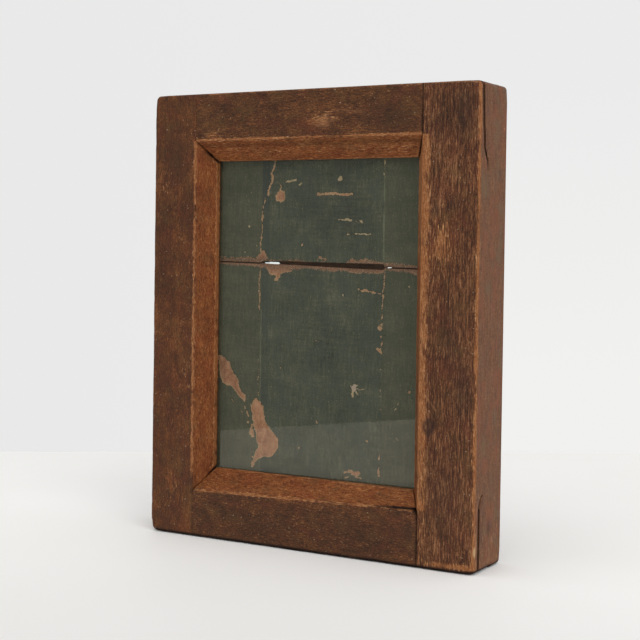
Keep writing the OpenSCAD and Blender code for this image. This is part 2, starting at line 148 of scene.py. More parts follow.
class Finish(Nodes):
    """The nodes of one material."""

    def __init__(self, name):
        self.material = bpy.data.materials.new(name)
        super().__init__(self.material, "ShaderNodeOutputMaterial")
        self.place = self.add("ShaderNodeTexCoord")[3]

    def spread(self, stretch, size, detail=2.0, rough=0.5, warp=0.0, shift=(0, 0, 0), at=None):
        """Noise of the given lump size in millimetres, drawn out by stretch along each axis."""
        scale = [1000.0 / (size * s) for s in stretch]
        moving = {0: at or self.place, 1: scale, 2: shift}
        moved = self.add("ShaderNodeVectorMath", {"operation": "MULTIPLY_ADD"}, moving)[0]
        sockets = {"Vector": moved, "Scale": 1.0, "Detail": detail, "Roughness": rough, "Distortion": warp}
        return self.add("ShaderNodeTexNoise", {"noise_dimensions": "3D"}, sockets)[0]

    def mark(self, name):
        """A value painted on the piece's points."""
        return self.add("ShaderNodeAttribute", {"attribute_name": name})[2]

    def ramp(self, value, *stops):
        """A colour that goes with the value. Each stop is a place from 0 to 1 and a colour."""
        found = self.add("ShaderNodeValToRGB", None, {0: value})[0]
        elements = found.socket.node.color_ramp.elements
        while len(elements) < len(stops):
            elements.new(0.5)
        for element, (place, colour) in zip(elements, stops):
            element.position, element.color = place, (*paint(*colour), 1.0)
        return found

    def relief(self, height, depth, strength):
        sockets = {"Height": height, "Distance": depth * MM, "Strength": strength}
        return self.add("ShaderNodeBump", None, sockets)[0]

    def skin(self, **sockets):
        """Ends the material in one surface shader."""
        named = {key.replace("_", " "): given for key, given in sockets.items()}
        self.ends(self.add("ShaderNodeBsdfPrincipled", None, named)[0])
        return self.material


# Wood finishes, with the tones of each wood from dark to pale
STAINED = [(47, 30, 20), (71, 43, 27), (92, 54, 30), (132, 81, 42)]
STAINED_RIGHT = [(44, 28, 20), (72, 43, 27), (97, 59, 35), (148, 103, 70)]
STAINED_RAIL = [(44, 28, 20), (66, 41, 26), (88, 54, 31), (128, 80, 43)]
FLANK = [(80, 50, 31), (107, 69, 45), (134, 92, 61)]
BEVEL_TONES = [(66, 33, 18), (104, 56, 26), (128, 73, 36), (168, 112, 64)]


def old_wood(name, along, tones, side_tones, figure, fleck=0.3, comb=6, carve=(0.4, 0.5)):
    """Stained and worn wood. along is 0, 1 or 2 for grain that runs with x, y or z.
    figure gives the strength of its clouds, patches, bands, lines, hairs and fuzz, fleck that of its flecks,
    comb how long its hairs are, and carve the strength of scuffs and hairs on the bevel."""
    f = Finish(name)
    cloudy, patchy, banded, lined, haired, fuzzed = figure

    def drawn_out(length):
        return [length if axis == along else 1.0 for axis in range(3)]

    bend = f.spread(drawn_out(4), 14, 2.0, 0.5)
    lift = f.add("ShaderNodeCombineXYZ", None, {i: (bend - 0.5) * 0.0016 for i in range(3) if i != along})[0]
    at = f.add("ShaderNodeVectorMath", {"operation": "ADD"}, {0: f.place, 1: lift})[0]
    clouds = f.spread(drawn_out(1.5), 17, 3.0, 0.6, 0.6, (3.1, 0.4, 7.7))
    patches = f.spread(drawn_out(1.5), 5.0, 3.0, 0.65, 0.4, (9.1, 2.4, 1.7))
    bands = f.spread(drawn_out(12), 2.4, 3.0, 0.55, 0.0, (1.3, 5.1, 2.2), at)
    lines = f.spread(drawn_out(comb * 1.5), 0.8, 2.0, 0.6, 0.0, (4.3, 1.1, 8.2), at)
    hairs = f.spread(drawn_out(comb), 0.34, 1.5, 0.6, 0.0, (2.3, 7.1, 3.2), at)
    fuzz = f.spread(drawn_out(1.8), 0.5, 2.0, 0.75, 0.0, (7.3, 2.1, 6.2))
    speckle = f.spread((1, 2, 1), 0.75, 2.0, 0.75, 0.0, (4.4, 0.9, 3.7))
    hue = f.spread(drawn_out(1.5), 8.0, 4.0, 0.65, 0.5, (5.5, 8.1, 2.9))
    side = f.mark("side")
    bevel = f.mark("bevel")

    broad = (clouds - 0.5) * cloudy + (patches - 0.5) * patchy
    grain = (bands - 0.5) * banded + (lines - 0.5) * lined + (hairs - 0.5) * haired
    calm = 1.0 - side * 0.55
    tone = 0.5 + broad + grain * calm + (fuzz - 0.5) * fuzzed
    front = f.ramp(tone, *zip((0.1, 0.36, 0.58, 0.88), tones))
    front = f.blend((hue - 0.52).kept() * 2.4, front, (92, 67, 38))
    front = f.blend((0.48 - hue).kept() * 2.4, front, (98, 50, 34))
    aside = 0.5 + broad * 0.45 + (lines - 0.5) * 0.8 + (hairs - 0.5) * 0.7 + (speckle - 0.5) * 1.1
    flank = f.ramp(aside, *zip((0.15, 0.5, 0.85), side_tones))
    colour = f.blend(side, front, flank)
    rosy = (hue * 0.6 + bands * 0.4).rise(0.5, 0.62) * side
    colour = f.blend(rosy * 0.7, colour, (126, 72, 48))
    greyer = (hue * 0.5 + clouds * 0.5).rise(0.5, 0.38) * side
    colour = f.blend(greyer * 0.7, colour, (108, 84, 60))

    # The bevels are warmer, with scuffs across them
    x, depth, z = f.add("ShaderNodeSeparateXYZ", None, {0: f.place})[:3]
    turned = f.add("ShaderNodeCombineXYZ", None, {0: x + z, 1: depth, 2: x - z})[0]
    scuffs = f.spread((1, 1, 7), 0.55, 2.0, 0.6, 0.0, (1.9, 3.7, 6.1), turned)
    carved = tone + (scuffs - 0.5) * carve[0] + (hairs - 0.5) * carve[1]
    warm = f.ramp(carved, *zip((0.1, 0.38, 0.6, 0.9), BEVEL_TONES))
    warm = f.blend((hue - 0.5).kept() * 2.2, warm, (104, 72, 42))
    warm = f.blend((0.5 - hue).kept() * 2.2, warm, (114, 52, 28))
    colour = f.blend(bevel, colour, warm)

    # Worn arrises and rubbed places show the paler wood
    rub = f.spread(drawn_out(comb * 0.75), 0.7, 2.0, 0.65, 0.0, (6.3, 2.1, 5.2), at)
    worn = f.mark("wear")
    rubbed = worn * 1.25 - 0.4 + (rub - 0.5) * 1.6 + (hairs - 0.5) * 1.2 + (clouds - 0.5) * 0.6
    rubbed = rubbed.rise(0.0, 0.5)
    fibres = fuzz * 0.5 + hairs * 0.5
    tan = f.ramp(fibres, (0.36, (104, 62, 34)), (0.5, (150, 99, 57)), (0.66, (204, 158, 112)))
    colour = f.blend(rubbed * 0.85, colour, tan)
    glow = (worn * 0.9 + (patches - 0.5) * 0.9 - 0.1).rise(0.0, 0.7)
    colour = f.blend(glow * 0.45, colour, (134, 76, 38))
    specks = f.spread(drawn_out(2.5), 0.62, 1.0, 0.5, 0.0, (8.3, 3.1, 4.2)) + (patches - 0.5) * 0.45
    colour = f.blend(specks.rise(0.66, 0.8) * fleck * calm, colour, (160, 116, 76))
    motes = f.spread((1, 1, 1), 0.9, 0.0, 0.5, 0.0, (2.2, 9.3, 5.1)).rise(0.83, 0.88)
    colour = f.blend(motes * 0.6, colour, (176, 150, 122))
    bare = f.mark("pale")
    pale = (bare + (rub - 0.5) * 0.5 + (hairs - 0.5) * 0.5).rise(0.1, 1.0)
    colour = f.blend(pale, colour, f.ramp(bare, (0.55, (164, 114, 74)), (0.9, (180, 148, 108))))

    # Pores, stains, dirt in the joints, painted shade at the foot and in the back's split, and greyer end
    # grain
    pits = f.spread(drawn_out(7), 0.42, 1.0, 0.5, 0.0, (5.3, 4.1, 9.2), at).rise(0.60, 0.72) * calm
    colour = f.blend(pits * 0.5, colour, (40, 25, 19))
    stain = (f.mark("stain") * (0.35 + patches * 1.2)).kept()
    colour = f.blend(stain * 0.7, colour, (42, 30, 26))
    dirt_and_shade = (f.mark("grime") * (0.75 + patches * 0.5)).kept()
    colour = f.blend(dirt_and_shade, colour, (22, 11, 7))
    dots = f.spread((1, 1, 1), 0.5, 2.0, 0.6, 0.0, (1.7, 2.9, 3.3))
    greyed = f.ramp(dots * 0.6 + clouds * 0.4, (0.35, (80, 54, 38)), (0.65, (112, 80, 58)))
    colour = f.blend(f.mark("end_grain") * 0.4, colour, greyed)

    height = lines * 0.3 + hairs * 0.3 - pits * 0.6 + patches * 0.3 + fuzz * 0.35
    normal = f.relief(height, 0.13, 0.7)
    roughness = 0.62 + (patches - 0.5) * 0.3 - rubbed * 0.08 + dirt_and_shade * 0.25
    return f.skin(Base_Color=colour, Roughness=roughness, Normal=normal, Specular_IOR_Level=0.18)


# Mesh helpers
def smooth_noise(points, size, seed):
    """Smooth noise from -1 to 1 at the points, in lumps of the given size."""
    place = np.asarray(points, float) / size
    cell = np.floor(place).astype(np.int64)
    part = place - cell
    part = part * part * (3 - 2 * part)
    total = np.zeros(len(place))
    for corner in range(8):
        step = np.array([corner & 1, corner >> 1 & 1, corner >> 2 & 1])
        key = ((cell + step) * np.array([73856093, 19349663, 83492791])).sum(1) + seed * 9176311
        key = (key ^ (key >> 15)) * 668265263
        key = (key ^ (key >> 13)) & 0xFFFFF
        weight = np.prod(np.where(step, part, 1 - part), axis=1)
        total += weight * (key / 0x7FFFF - 1.0)
    return total


def ripple(points, size, seed):
    """Noise in lumps of the given size, with two finer ones on it."""
    return sum(smooth_noise(points, size / 2**i, seed + i) / 2**i for i in range(3)) / 1.75


def near(distance, reach):
    """1 at no distance, falling to 0 at reach."""
    t = np.clip(1 - np.abs(distance) / reach, 0, 1)
    return t * t * (3 - 2 * t)


def to_line(points, line):
    """Distance from flat points to a line through several places."""
    best = np.full(len(points), 1e9)
    for a, b in zip(line[:-1], line[1:]):
        a, b = np.array(a, float), np.array(b, float)
        along = b - a
        t = np.clip(((points - a) @ along) / max(along @ along, 1e-12), 0, 1)
        best = np.minimum(best, np.linalg.norm(points - a - t[:, None] * along, axis=1))
    return best


def to_outline(points, outline):
    """Distance to a closed outline, positive inside it."""
    closed = list(outline) + [outline[0]]
    distance = to_line(points, closed)
    inside = np.zeros(len(points), bool)
    x, y = points[:, 0], points[:, 1]
    for (ax, ay), (bx, by) in zip(closed[:-1], closed[1:]):
        crosses = (ay > y) != (by > y)
        inside ^= crosses & (x < (bx - ax) * (y - ay) / (by - ay + 1e-12) + ax)
    return np.where(inside, distance, -distance)


def spots(across, up, places):
    """Round marks, each given by its place across and up, its half sizes and its strength."""
    found = np.zeros(len(across))
    for x, z, wide, high, strength in places:
        found = np.maximum(found, near(np.hypot((across - x) / wide, (up - z) / high), 1.0) * strength)
    return found


def strokes(across, up, lines):
    """Marks along lines, each given by its line, its reach and its strength."""
    flat = np.stack([across, up], 1)
    found = np.zeros(len(across))
    for line, reach, strength in lines:
        found = np.maximum(found, near(to_line(flat, line), reach) * strength)
    return found


def link(name, data):
    made = bpy.data.objects.new(name, data)
    bpy.context.scene.collection.objects.link(made)
    return made


def whole(node, name):
    """A copy of a CAD node's mesh with its loose triangles joined."""
    bm = bmesh.new()
    bm.from_mesh(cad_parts[node].data)
    bmesh.ops.remove_doubles(bm, verts=bm.verts[:], dist=2e-6)
    bmesh.ops.dissolve_limit(bm, angle_limit=math.radians(0.5), verts=bm.verts[:], edges=bm.edges[:])
    return link(name, drawn(name, bm))


def drawn(name, bm):
    """A plain mesh from a bmesh, which is then freed."""
    mesh = bpy.data.meshes.new(name)
    bm.to_mesh(mesh)
    bm.free()
    return mesh


def baked(piece):
    """Turns a piece's modifiers into its plain mesh."""
    bpy.context.view_layer.update()
    shown = piece.evaluated_get(bpy.context.evaluated_depsgraph_get())
    mesh = bpy.data.meshes.new_from_object(shown)
    old = piece.data
    piece.modifiers.clear()
    piece.data = mesh
    mesh.name = piece.name
    bpy.data.meshes.remove(old)


def even(node, name, grid):
    """A CAD node as an even closed mesh, its points as x, depth and z in millimetres, and its normals."""
    piece = whole(node, name)
    remesh = piece.modifiers.new("even", "REMESH")
    remesh.mode, remesh.voxel_size, remesh.use_smooth_shade = "VOXEL", grid * MM, True
    baked(piece)
    p, normals = np.empty((2, len(piece.data.vertices) * 3))
    piece.data.vertices.foreach_get("co", p)
    piece.data.vertex_normals.foreach_get("vector", normals)
    p = p.reshape(-1, 3) / MM
    p[:, 1] += DEEP / 2
    return piece, crisp(node, p), normals.reshape(-1, 3)


def crisp(node, p, reach=0.42):
    """Puts points that lie close to the CAD node's faces on them, and so its edges become sharp again."""
    source = whole(node, "source")
    total = np.zeros((len(p), 3, 3)) + np.eye(3) * 0.02
    aim = p * 0.02
    for face in source.data.polygons:
        ring = np.array([source.data.vertices[v].co for v in face.vertices]) / MM
        ring[:, 1] += DEEP / 2
        normal = np.array(face.normal)
        level = ring.mean(0) @ normal
        away = p @ normal - level
        low, high = ring.min(0) - reach, ring.max(0) + reach
        close = (np.abs(away) < reach) & (p >= low).all(1) & (p <= high).all(1)
        total[close] += np.outer(normal, normal)
        aim[close] += level * normal
    bpy.data.objects.remove(source)
    return np.linalg.solve(total, aim[:, :, None])[:, :, 0]


def reshape(piece, p):
    moved = p.copy()
    moved[:, 1] -= DEEP / 2
    piece.data.vertices.foreach_set("co", (moved * MM).ravel())
    piece.data.update()


def painted(piece, **marks):
    for name, values in marks.items():
        layer = piece.data.attributes.new(name, "FLOAT", "POINT")
        layer.data.foreach_set("value", np.clip(values, -1, 1).astype(np.float32))


def finished(piece, node, body, material, sharp=62):
    """Shades a piece, sharp where it turns by more than the given degrees, and lets it stand for its node."""
    piece.data.materials.clear()
    piece.data.materials.append(material)
    piece.data.shade_smooth()
    piece.data.set_sharp_from_angle(angle=math.radians(sharp))
    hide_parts(node)
    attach(piece, body)


# The four frame members
def rounded_box(p, radius):
    """Rounds the outer arrises and corners of the whole frame."""
    middle = np.array([0, DEEP / 2, TOP / 2])
    half = np.array([HALF_W, DEEP / 2, TOP / 2])
    out = np.abs(p - middle) - (half - radius[:, None])
    over = np.maximum(out, 0)
    length = np.linalg.norm(over, axis=1)
    squeeze = np.where(length > radius, radius / np.maximum(length, 1e-9), 1.0)
    changed = (np.count_nonzero(over > 0, axis=1) >= 2)[:, None]
    kept = (half - radius[:, None]) + over * squeeze[:, None]
    return np.where(changed & (out > 0), middle + np.sign(p - middle) * kept, p)


def low_face(x):
    """The height of the lower bevel's outer line, which rises from left to right."""
    return np.interp(x, [FACE_L, FACE_R], [FACE_LOW_L, FACE_LOW_R])


# How far the seam on the right side is moved backward, at heights
SEAM_Z = [0, 18, 28.5, 30.2, 33.2, 34.4, 37, 187, 190.25, 192.5, 193.9, 197, 203.9, 211, 218.7, 224]
SEAM_SHIFT = [-0.4, -0.4, -0.4, -0.9, -2.3, -2.1, 0, 0, -1.6, -1.0, -0.4, -0.5, -1.1, -1.7, -2.1, -2.3]


def seam_shift(p):
    """The seam on the right side isn't straight: it leans forward near the top."""
    along = np.interp(p[:, 2], SEAM_Z, SEAM_SHIFT)
    reach = np.clip((p[:, 0] - 66) / 18, 0, 1)
    through = np.interp(p[:, 1], [0.8, 5.0, 11.2, 14.0], [0, 1, 1, 0])
    return along * reach * through


# Each mitre runs from the bevel's outer corner to the sight corner, as x and z. It has opened by some
# millimetres at places along it, less than 0 where it closed
MITRES = [
    ((FACE_L, FACE_TOP), (SIGHT_L, SIGHT_TOP), [0.05, 0.12, 0.1, 0.25, 0.34, 0.25]),
    ((FACE_R, FACE_TOP), (SIGHT_R, SIGHT_TOP), [0.0, 0.06, 0.14, 0.2, 0.22, 0.2]),
    ((FACE_L, SOLID_LOW_L), (SIGHT_L, SIGHT_LOW), [0.1, 0.12, -0.09, -0.09, 0.18, 0.25]),
    ((FACE_R, SOLID_LOW_R), (SIGHT_R, SIGHT_LOW), [0.1, -0.06, -0.09, -0.09, -0.09, -0.05]),
]


def open_mitres(p, rail):
    """Moves the faces of the mitres, and returns how deep in an open mitre each point is."""
    shade = np.zeros(len(p))
    flat = p[:, [0, 2]].copy()
    for outer, sight, opening in MITRES:
        outer, sight = np.array(outer), np.array(sight)
        run = sight - outer
        length = np.linalg.norm(run)
        run = run / length
        # A rail's face moves towards the middle of its length, a stile's towards its outside
        away = np.array([run[1], -run[0]])
        if (away[0] > 0) != ((outer[0] < 0) == rail):
            away = -away
        t = (flat - outer) @ run
        s = (flat - outer) @ away
        inside = (p[:, 1] < LIP + 0.5) & (t > -1.0) & (t < length + 1.0) & (s < 4)
        gap = np.interp(t / length, np.linspace(0, 1, 6), opening)
        gap = gap + np.maximum(gap, 0) * 0.6 * smooth_noise(p, 1.5, 5)
        share = np.where(inside, near(s, 1.7), 0)
        p[:, 0] += away[0] * gap * share
        p[:, 2] += away[1] * gap * share
        dark = np.clip(gap * 2.2 + 0.1, 0, 1)
        shade = np.maximum(shade, np.where(inside, near(s, 0.55 + 0.5 * np.clip(gap, 0, 1)) * dark, 0))
    return shade


def raise_bevel(p):
    """Turns the bottom rail's bevel a little, so that its outer line comes to its shown height."""
    shown = low_face(p[:, 0])
    solid = shown - RAISED
    cut = BEVEL * (p[:, 2] - solid) / (SIGHT_LOW - solid)
    aim = BEVEL * np.clip((p[:, 2] - shown) / (SIGHT_LOW - shown), 0, 1)
    on_cut = (np.abs(p[:, 1] - cut) < 0.35) & (p[:, 2] > solid - 0.1) & (p[:, 2] < SIGHT_LOW - 0.2)
    p[:, 1] = np.where(on_cut, np.minimum(aim, p[:, 1]), p[:, 1])


def front_joints(p, x, depth, z, rail):
    """The joint lines of rails and stiles on the front: closed at the left, open and dark at the right."""
    if rail:
        p[:, 0] -= near(x - FACE_L, 0.9) * (depth < LIP + 0.3) * ((z > FACE_TOP) | (z < FACE_LOW_L)) * 0.085
    broken = np.clip(0.8 + 0.5 * smooth_noise(p, 5, 3), 0.3, 1)
    lip = near(x - FACE_R, 0.75) * (depth < 0.3) * ((z > FACE_TOP) | (z < FACE_LOW_R)) * broken
    p[:, 1] += lip * 0.25
    return lip * 0.9


def worn_corner(p, x, depth, z):
    """Rounds the bottom rail's corner by the right stile, and opens a crack along the bevel's outer line."""
    slope = low_face(x)
    corner = np.stack([x - (FACE_R - 5.5), z - (FACE_LOW_R - 5.0)], 1)
    over = (corner > 0).all(1) & (depth < 4) & (z < slope + 0.2)
    cut = over * np.clip(np.linalg.norm(corner, axis=1) - 4.7, 0, 3) * np.clip(1 - depth / 4, 0, 1)
    p[:, 1] += np.minimum(cut * 1.6, 2.2)
    crack = np.clip(near(z - slope - 0.1, 0.95) * 1.4, 0, 1) * (depth < 1.4) * np.clip((x - 40) / 9, 0, 1)
    p[:, 1] += crack * 0.7
    return np.maximum(crack, np.clip(cut * 1.5, 0, 1))


# The tenons' seams on the right and on the left side, as depth and z, at the top and at the bottom
TENON_SEAMS = [
    ([(3.2, 224), (3.4, 218.7), (4.4, 203.9), (5.5, 194.6), (6.4, 192.5), (9.0, 188.4), (9.5, 184)],
     [(6.2, 224), (6.2, 193.9), (8.4, 190.3)]),
    ([(8.6, 34.7), (7.0, 33.2), (5.6, 30.2), (5.3, 18), (5.3, 0)], [(8.6, 34.2), (6.2, 29.2), (6.2, 0)]),
]


def tenon_seams(p, x, z, mouth):
    """Cuts the seams of the tenons into the sides of the stiles, and returns how dark they are."""
    shade = np.zeros(len(p))
    here = np.stack([p[:, 1], z], 1)
    fade = np.where(z > 100, np.clip((z - 182) / 7, 0, 1), 1.0)
    for right_line, left_line in TENON_SEAMS:
        away = np.where(x > 0, to_line(here, right_line), to_line(here, left_line))
        broken = np.clip(1.1 + 0.4 * smooth_noise(p, 4, 83), 0, 1)
        groove = np.clip(near(away, 1.35) * 1.7, 0, 1) * (np.abs(x) > SIDE + 0.1) * fade * broken
        groove = np.where(mouth, 0, groove)
        p[:, 0] -= np.sign(x) * groove * 0.5
        shade = np.maximum(shade, groove * np.where(x > 0, 1.0, 0.6))
    return shade


def member(node, name, material, rail):
    piece, p, n = even(node, name, 0.6)
    if node == "bottom_rail":
        raise_bevel(p)
    x, depth, z = p.T.copy()
    on_front = np.clip(-n[:, 1] * 4 - 2.6, 0, 1) * (depth < 0.5)
    on_bevel = (depth > 0.25) & (depth < BEVEL + 2.2) & (np.abs(n[:, 1]) < 0.97) & (n[:, 1] < -0.2)
    on_bevel &= (x > FACE_L - 0.5) & (x < FACE_R + 0.5) & (z < FACE_TOP + 0.5) & (z > low_face(x) - 0.5)
    side = np.clip(np.maximum(np.abs(n[:, 0]) * (np.abs(x) > 88), n[:, 1] * 0.65) * 3 - 1.4, 0, 1)
    side = np.maximum(side, np.clip(np.abs(n[:, 2]) * 1.95 - 1.4, 0, 1) * ((z > TOP - 2) | (z < 2)))
    if rail:
        ends = (np.abs(x) > 89.2) * near(depth - 9.6, 6.0) ** 0.5
    else:
        ends = (z > 223.2) | (z < 0.8)
    grime = [open_mitres(p, rail), front_joints(p, x, depth, z, rail)]

    # Each tenon shows one seam on the side, at its front: behind that its end is flush and stained over
    seam = np.interp(z, [0, 29.8, 34.35, 190.2, 193.9, TOP], [6.2, 6.2, 10.75, 9.8, 6.2, 6.2])
    joined = (z > 190.0) | (z < 34.45)
    mouth = (np.abs(x) > 89.7) & (depth > seam + 0.12) & (depth < LIP + 0.25) & joined & (not rail)
    if rail:
        p[:, 0] -= np.sign(x) * 0.45 * (np.abs(x) > 89.5)
    p[:, 1] = np.where(mouth, seam + 0.16 + (depth - seam) * 0.02, p[:, 1])
    if node == "bottom_rail":
        grime.append(worn_corner(p, x, depth, z))

    p[:, 0] -= 0.7 * near(x - FACE_R, 5.5) * np.clip((13.5 - depth) / 3, 0, 1)
    p[:, 1] += seam_shift(p)
    radius = 1.25 + 0.3 * ripple(p, 30, 11) + 0.45 * np.maximum(0, ripple(p, 5, 23))
    corner = near(np.minimum(z, TOP - z), 9) * near(HALF_W - np.abs(x), 9)
    radius = np.where(p[:, 1] > 20, radius * 0.6, radius) + corner * 1.2
    radius = np.where((p[:, 2] < 6) & (p[:, 1] < 20), radius * 1.3, radius)
    p = rounded_box(p, radius)
    grime.append(tenon_seams(p, x, z, mouth))
    # Painted contact shadow along the foot, where the frame stands on the floor
    grime.append(np.clip(near(z, 2.3) * 1.6, 0, 1) * np.clip(1.3 + 0.6 * smooth_noise(p, 7, 61), 0, 1))
    if node == "top_rail":
        # Dirt in the corner by the right stile, and under the bevel's upper arris
        grime.append(spots(x, z, [(60.5, 194.5, 3.4, 5.5, 0.8)]) * on_bevel)
        grime.append(near(z - FACE_TOP + 2.4, 1.9) * on_bevel * 0.3)

    wear = wear_of_arrises(p, x, depth, z, rail)
    p -= n * (0.04 + 0.04 * ripple(p, 45, 31) + wear * 0.1 * (1 + smooth_noise(p, 2.2, 71)))[:, None]
    p[:, 1] = np.clip(p[:, 1], 0.0, DEEP)
    reshape(piece, p)
    pale, stain = spots_and_stains(x, p[:, 1], z, on_front)
    painted(piece, side=side, bevel=on_bevel, wear=wear, grime=np.maximum.reduce(grime),
            end_grain=ends * side, pale=pale, stain=stain)
    finished(piece, node, "frame", material)


# Marks by their place. Spots have x, z, half sizes and strength, and those of the side have depth for x
RUBBED = [
    (9, 209.5, 17, 6, 0.5), (72, 150, 15, 26, 0.56), (-69, 82, 7, 24, 0.36),
    (-55, 202.5, 13, 4, 0.45), (-82, 178, 10, 16, 0.34), (-76, 22, 9, 14, 0.34),
]
PALE_SPOTS = [(9, 208, 10, 6.5, 0.55)]
PALE_STROKES = [
    ([(64.9, 80.2), (67.5, 76.8), (70.1, 73.6)], 1.1, 0.5),
    ([(6, 210), (14, 212.5), (21, 212.8), (31, 211.2)], 2.4, 0.3),
]
STAIN_SPOTS = [
    (66.8, 65.8, 4.2, 5.8, 2.2), (-53.7, 9, 2.5, 2, 0.7), (82, 211, 9, 20, 0.75), (70, 205, 9, 12, 0.35),
    (83, 84, 8, 24, 0.6), (40, 209, 24, 9, 0.6), (-78, 190, 15, 24, 0.6), (81, 207, 6, 8, 0.9),
    (68.5, 165, 3, 5, 0.8), (77, 168.5, 5, 6, 0.5), (77, 106, 9, 24, 0.5), (-20, 10, 26, 8, 0.5),
    (57, 17, 8, 8, 0.7), (30, 12, 34, 14, 0.45), (76, 36, 14, 32, 0.4), (-86, 150, 5, 60, 0.3),
]
STAIN_STROKES = [([(-55, 213.1), (-50, 215), (-45.5, 217.7)], 3.0, 0.6)]
SIDE_STAIN_SPOTS = [(17.6, 19.8, 5, 6, 0.8)]
SIDE_STAIN_STROKES = [([(15.2, 214.5), (15.2, 210.5)], 1.6, 0.6), ([(24, 184), (24, 179)], 1.8, 0.6)]


def wear_of_arrises(p, x, depth, z, rail):
    """How much each place is rubbed, from how close it is to an arris."""
    slope = low_face(x)
    front = depth < 3
    level = (z > slope) & (z < FACE_TOP)
    across = (x > FACE_L) & (x < FACE_R)
    right_bevel = (x > SIGHT_R - 0.5) & (x < FACE_R) & (depth > 0.3) & (not rail)
    lip = (depth > 7.5) & (depth < 12.0)
    flank = np.clip((x - SIDE) * 2, 0, 1)
    beads = np.clip(0.82 + 0.45 * ripple(p, 2.6, 47) + 0.35 * smooth_noise(p, 14, 43), 0.1, 1.3)
    worn = [
        near(np.hypot(HALF_W - x, depth), np.interp(z, [60, 170], [2.6, 1.9])) * 1.25 * beads,
        near(np.hypot(HALF_W + x, depth), 1.4) * 0.6 * beads,
        near(np.hypot(TOP - z, depth), 1.4) * 0.6 * beads,
        near(np.hypot(z, depth), 1.8) * 0.6 * beads,
        near(np.hypot((z - 3.0) / 2.6, depth / 2), 1.0) * (x > 66) * np.clip(0.6 + ripple(p, 8, 53), 0, 1),
        near(x - FACE_L + 0.5, 1.4) * level * front * 1.15 * beads,
        near(x - FACE_R - 1.4, 4.5) * np.where(level, 0.8, (x > FACE_R) * 0.4) * (z < FACE_TOP + 4) * front,
        near(x - FACE_R, 1.3) * level * front * 0.9 * beads,
        near(x - FACE_R + 0.1, 0.9) * level * (not rail) * 1.1,
        near(z - FACE_TOP - 0.4, 1.3) * across * front * 1.15 * beads,
        near(z - slope + 0.4, 1.4) * across * front * 1.05 * beads,
        near(z - 195, 6) * across * (depth > 0.5) * (depth < 10) * rail * 0.3,
        right_bevel * level * np.interp(z, [120, 150, 190], [0, 0.4, 1.0]),
        spots(x, z, RUBBED) * front,
        # The strip of the right side in front of the tenons is rubbed too, and so is its foot
        flank * near(depth - 1.5, 4.0) * ((z > 186) | (z < 36)) * 0.45,
        flank * np.interp(z, [0, 15, 40, 110], [0.4, 0.3, 0.12, 0.0]),
    ]
    for line, where in ((SIGHT_L, x), (SIGHT_R, x), (SIGHT_TOP, z), (SIGHT_LOW, z)):
        worn.append(near(where - line, 0.95) * lip * 0.9 * beads)
    return np.maximum.reduce(worn) * np.clip(0.9 + 0.45 * ripple(p, 9, 41), 0.2, 1.2)


def spots_and_stains(x, depth, z, on_front):
    """The few single marks that the frame has: how pale and how stained each place is."""
    face, flank = on_front > 0.3, x > SIDE
    pale = np.maximum.reduce([
        spots(x, z, PALE_SPOTS) * face,
        strokes(x, z, PALE_STROKES) * face,
        spots(depth, z, [(28.5, 204, 1.2, 1.2, 0.9)]) * flank,
        spots(depth, z, [(1.2, 10.5, 1.7, 5, 1.4)]) * (x > SIDE - 0.7),
    ])
    stain = np.maximum.reduce([
        spots(x, z, STAIN_SPOTS) * face,
        strokes(x, z, STAIN_STROKES) * face,
        spots(depth, z, SIDE_STAIN_SPOTS) * flank,
        strokes(depth, z, SIDE_STAIN_STROKES) * flank,
        # Low on the right stile's bevel
        spots(x, z, [(57.5, 78, 4, 22, 0.6)]) * (depth > 3) * (depth < 10),
    ])
    return pale, stain


stile_wood = old_wood(
    "stained_wood_stile", 2, STAINED, FLANK, (0.5, 0.45, 0.2, 0.3, 0.55, 0.9), carve=(0.3, 0.3),
)
right_wood = old_wood(
    "stained_wood_right_stile", 2, STAINED_RIGHT, FLANK, (0.45, 0.3, 0.1, 1.0, 1.25, 0.75),
    fleck=0.35, comb=11, carve=(0.0, 1.3),
)
rail_wood = old_wood(
    "stained_wood_rail", 0, STAINED_RAIL, FLANK, (0.5, 0.4, 0.15, 0.2, 0.8, 1.1),
    fleck=0.45, comb=8, carve=(0.6, 0.4),
)
for node, wood, rail in (
    ("left_stile", stile_wood, False), ("right_stile", right_wood, False),
    ("top_rail", rail_wood, True), ("bottom_rail", rail_wood, True),
):
    member(node, node + "_wood", wood, rail)


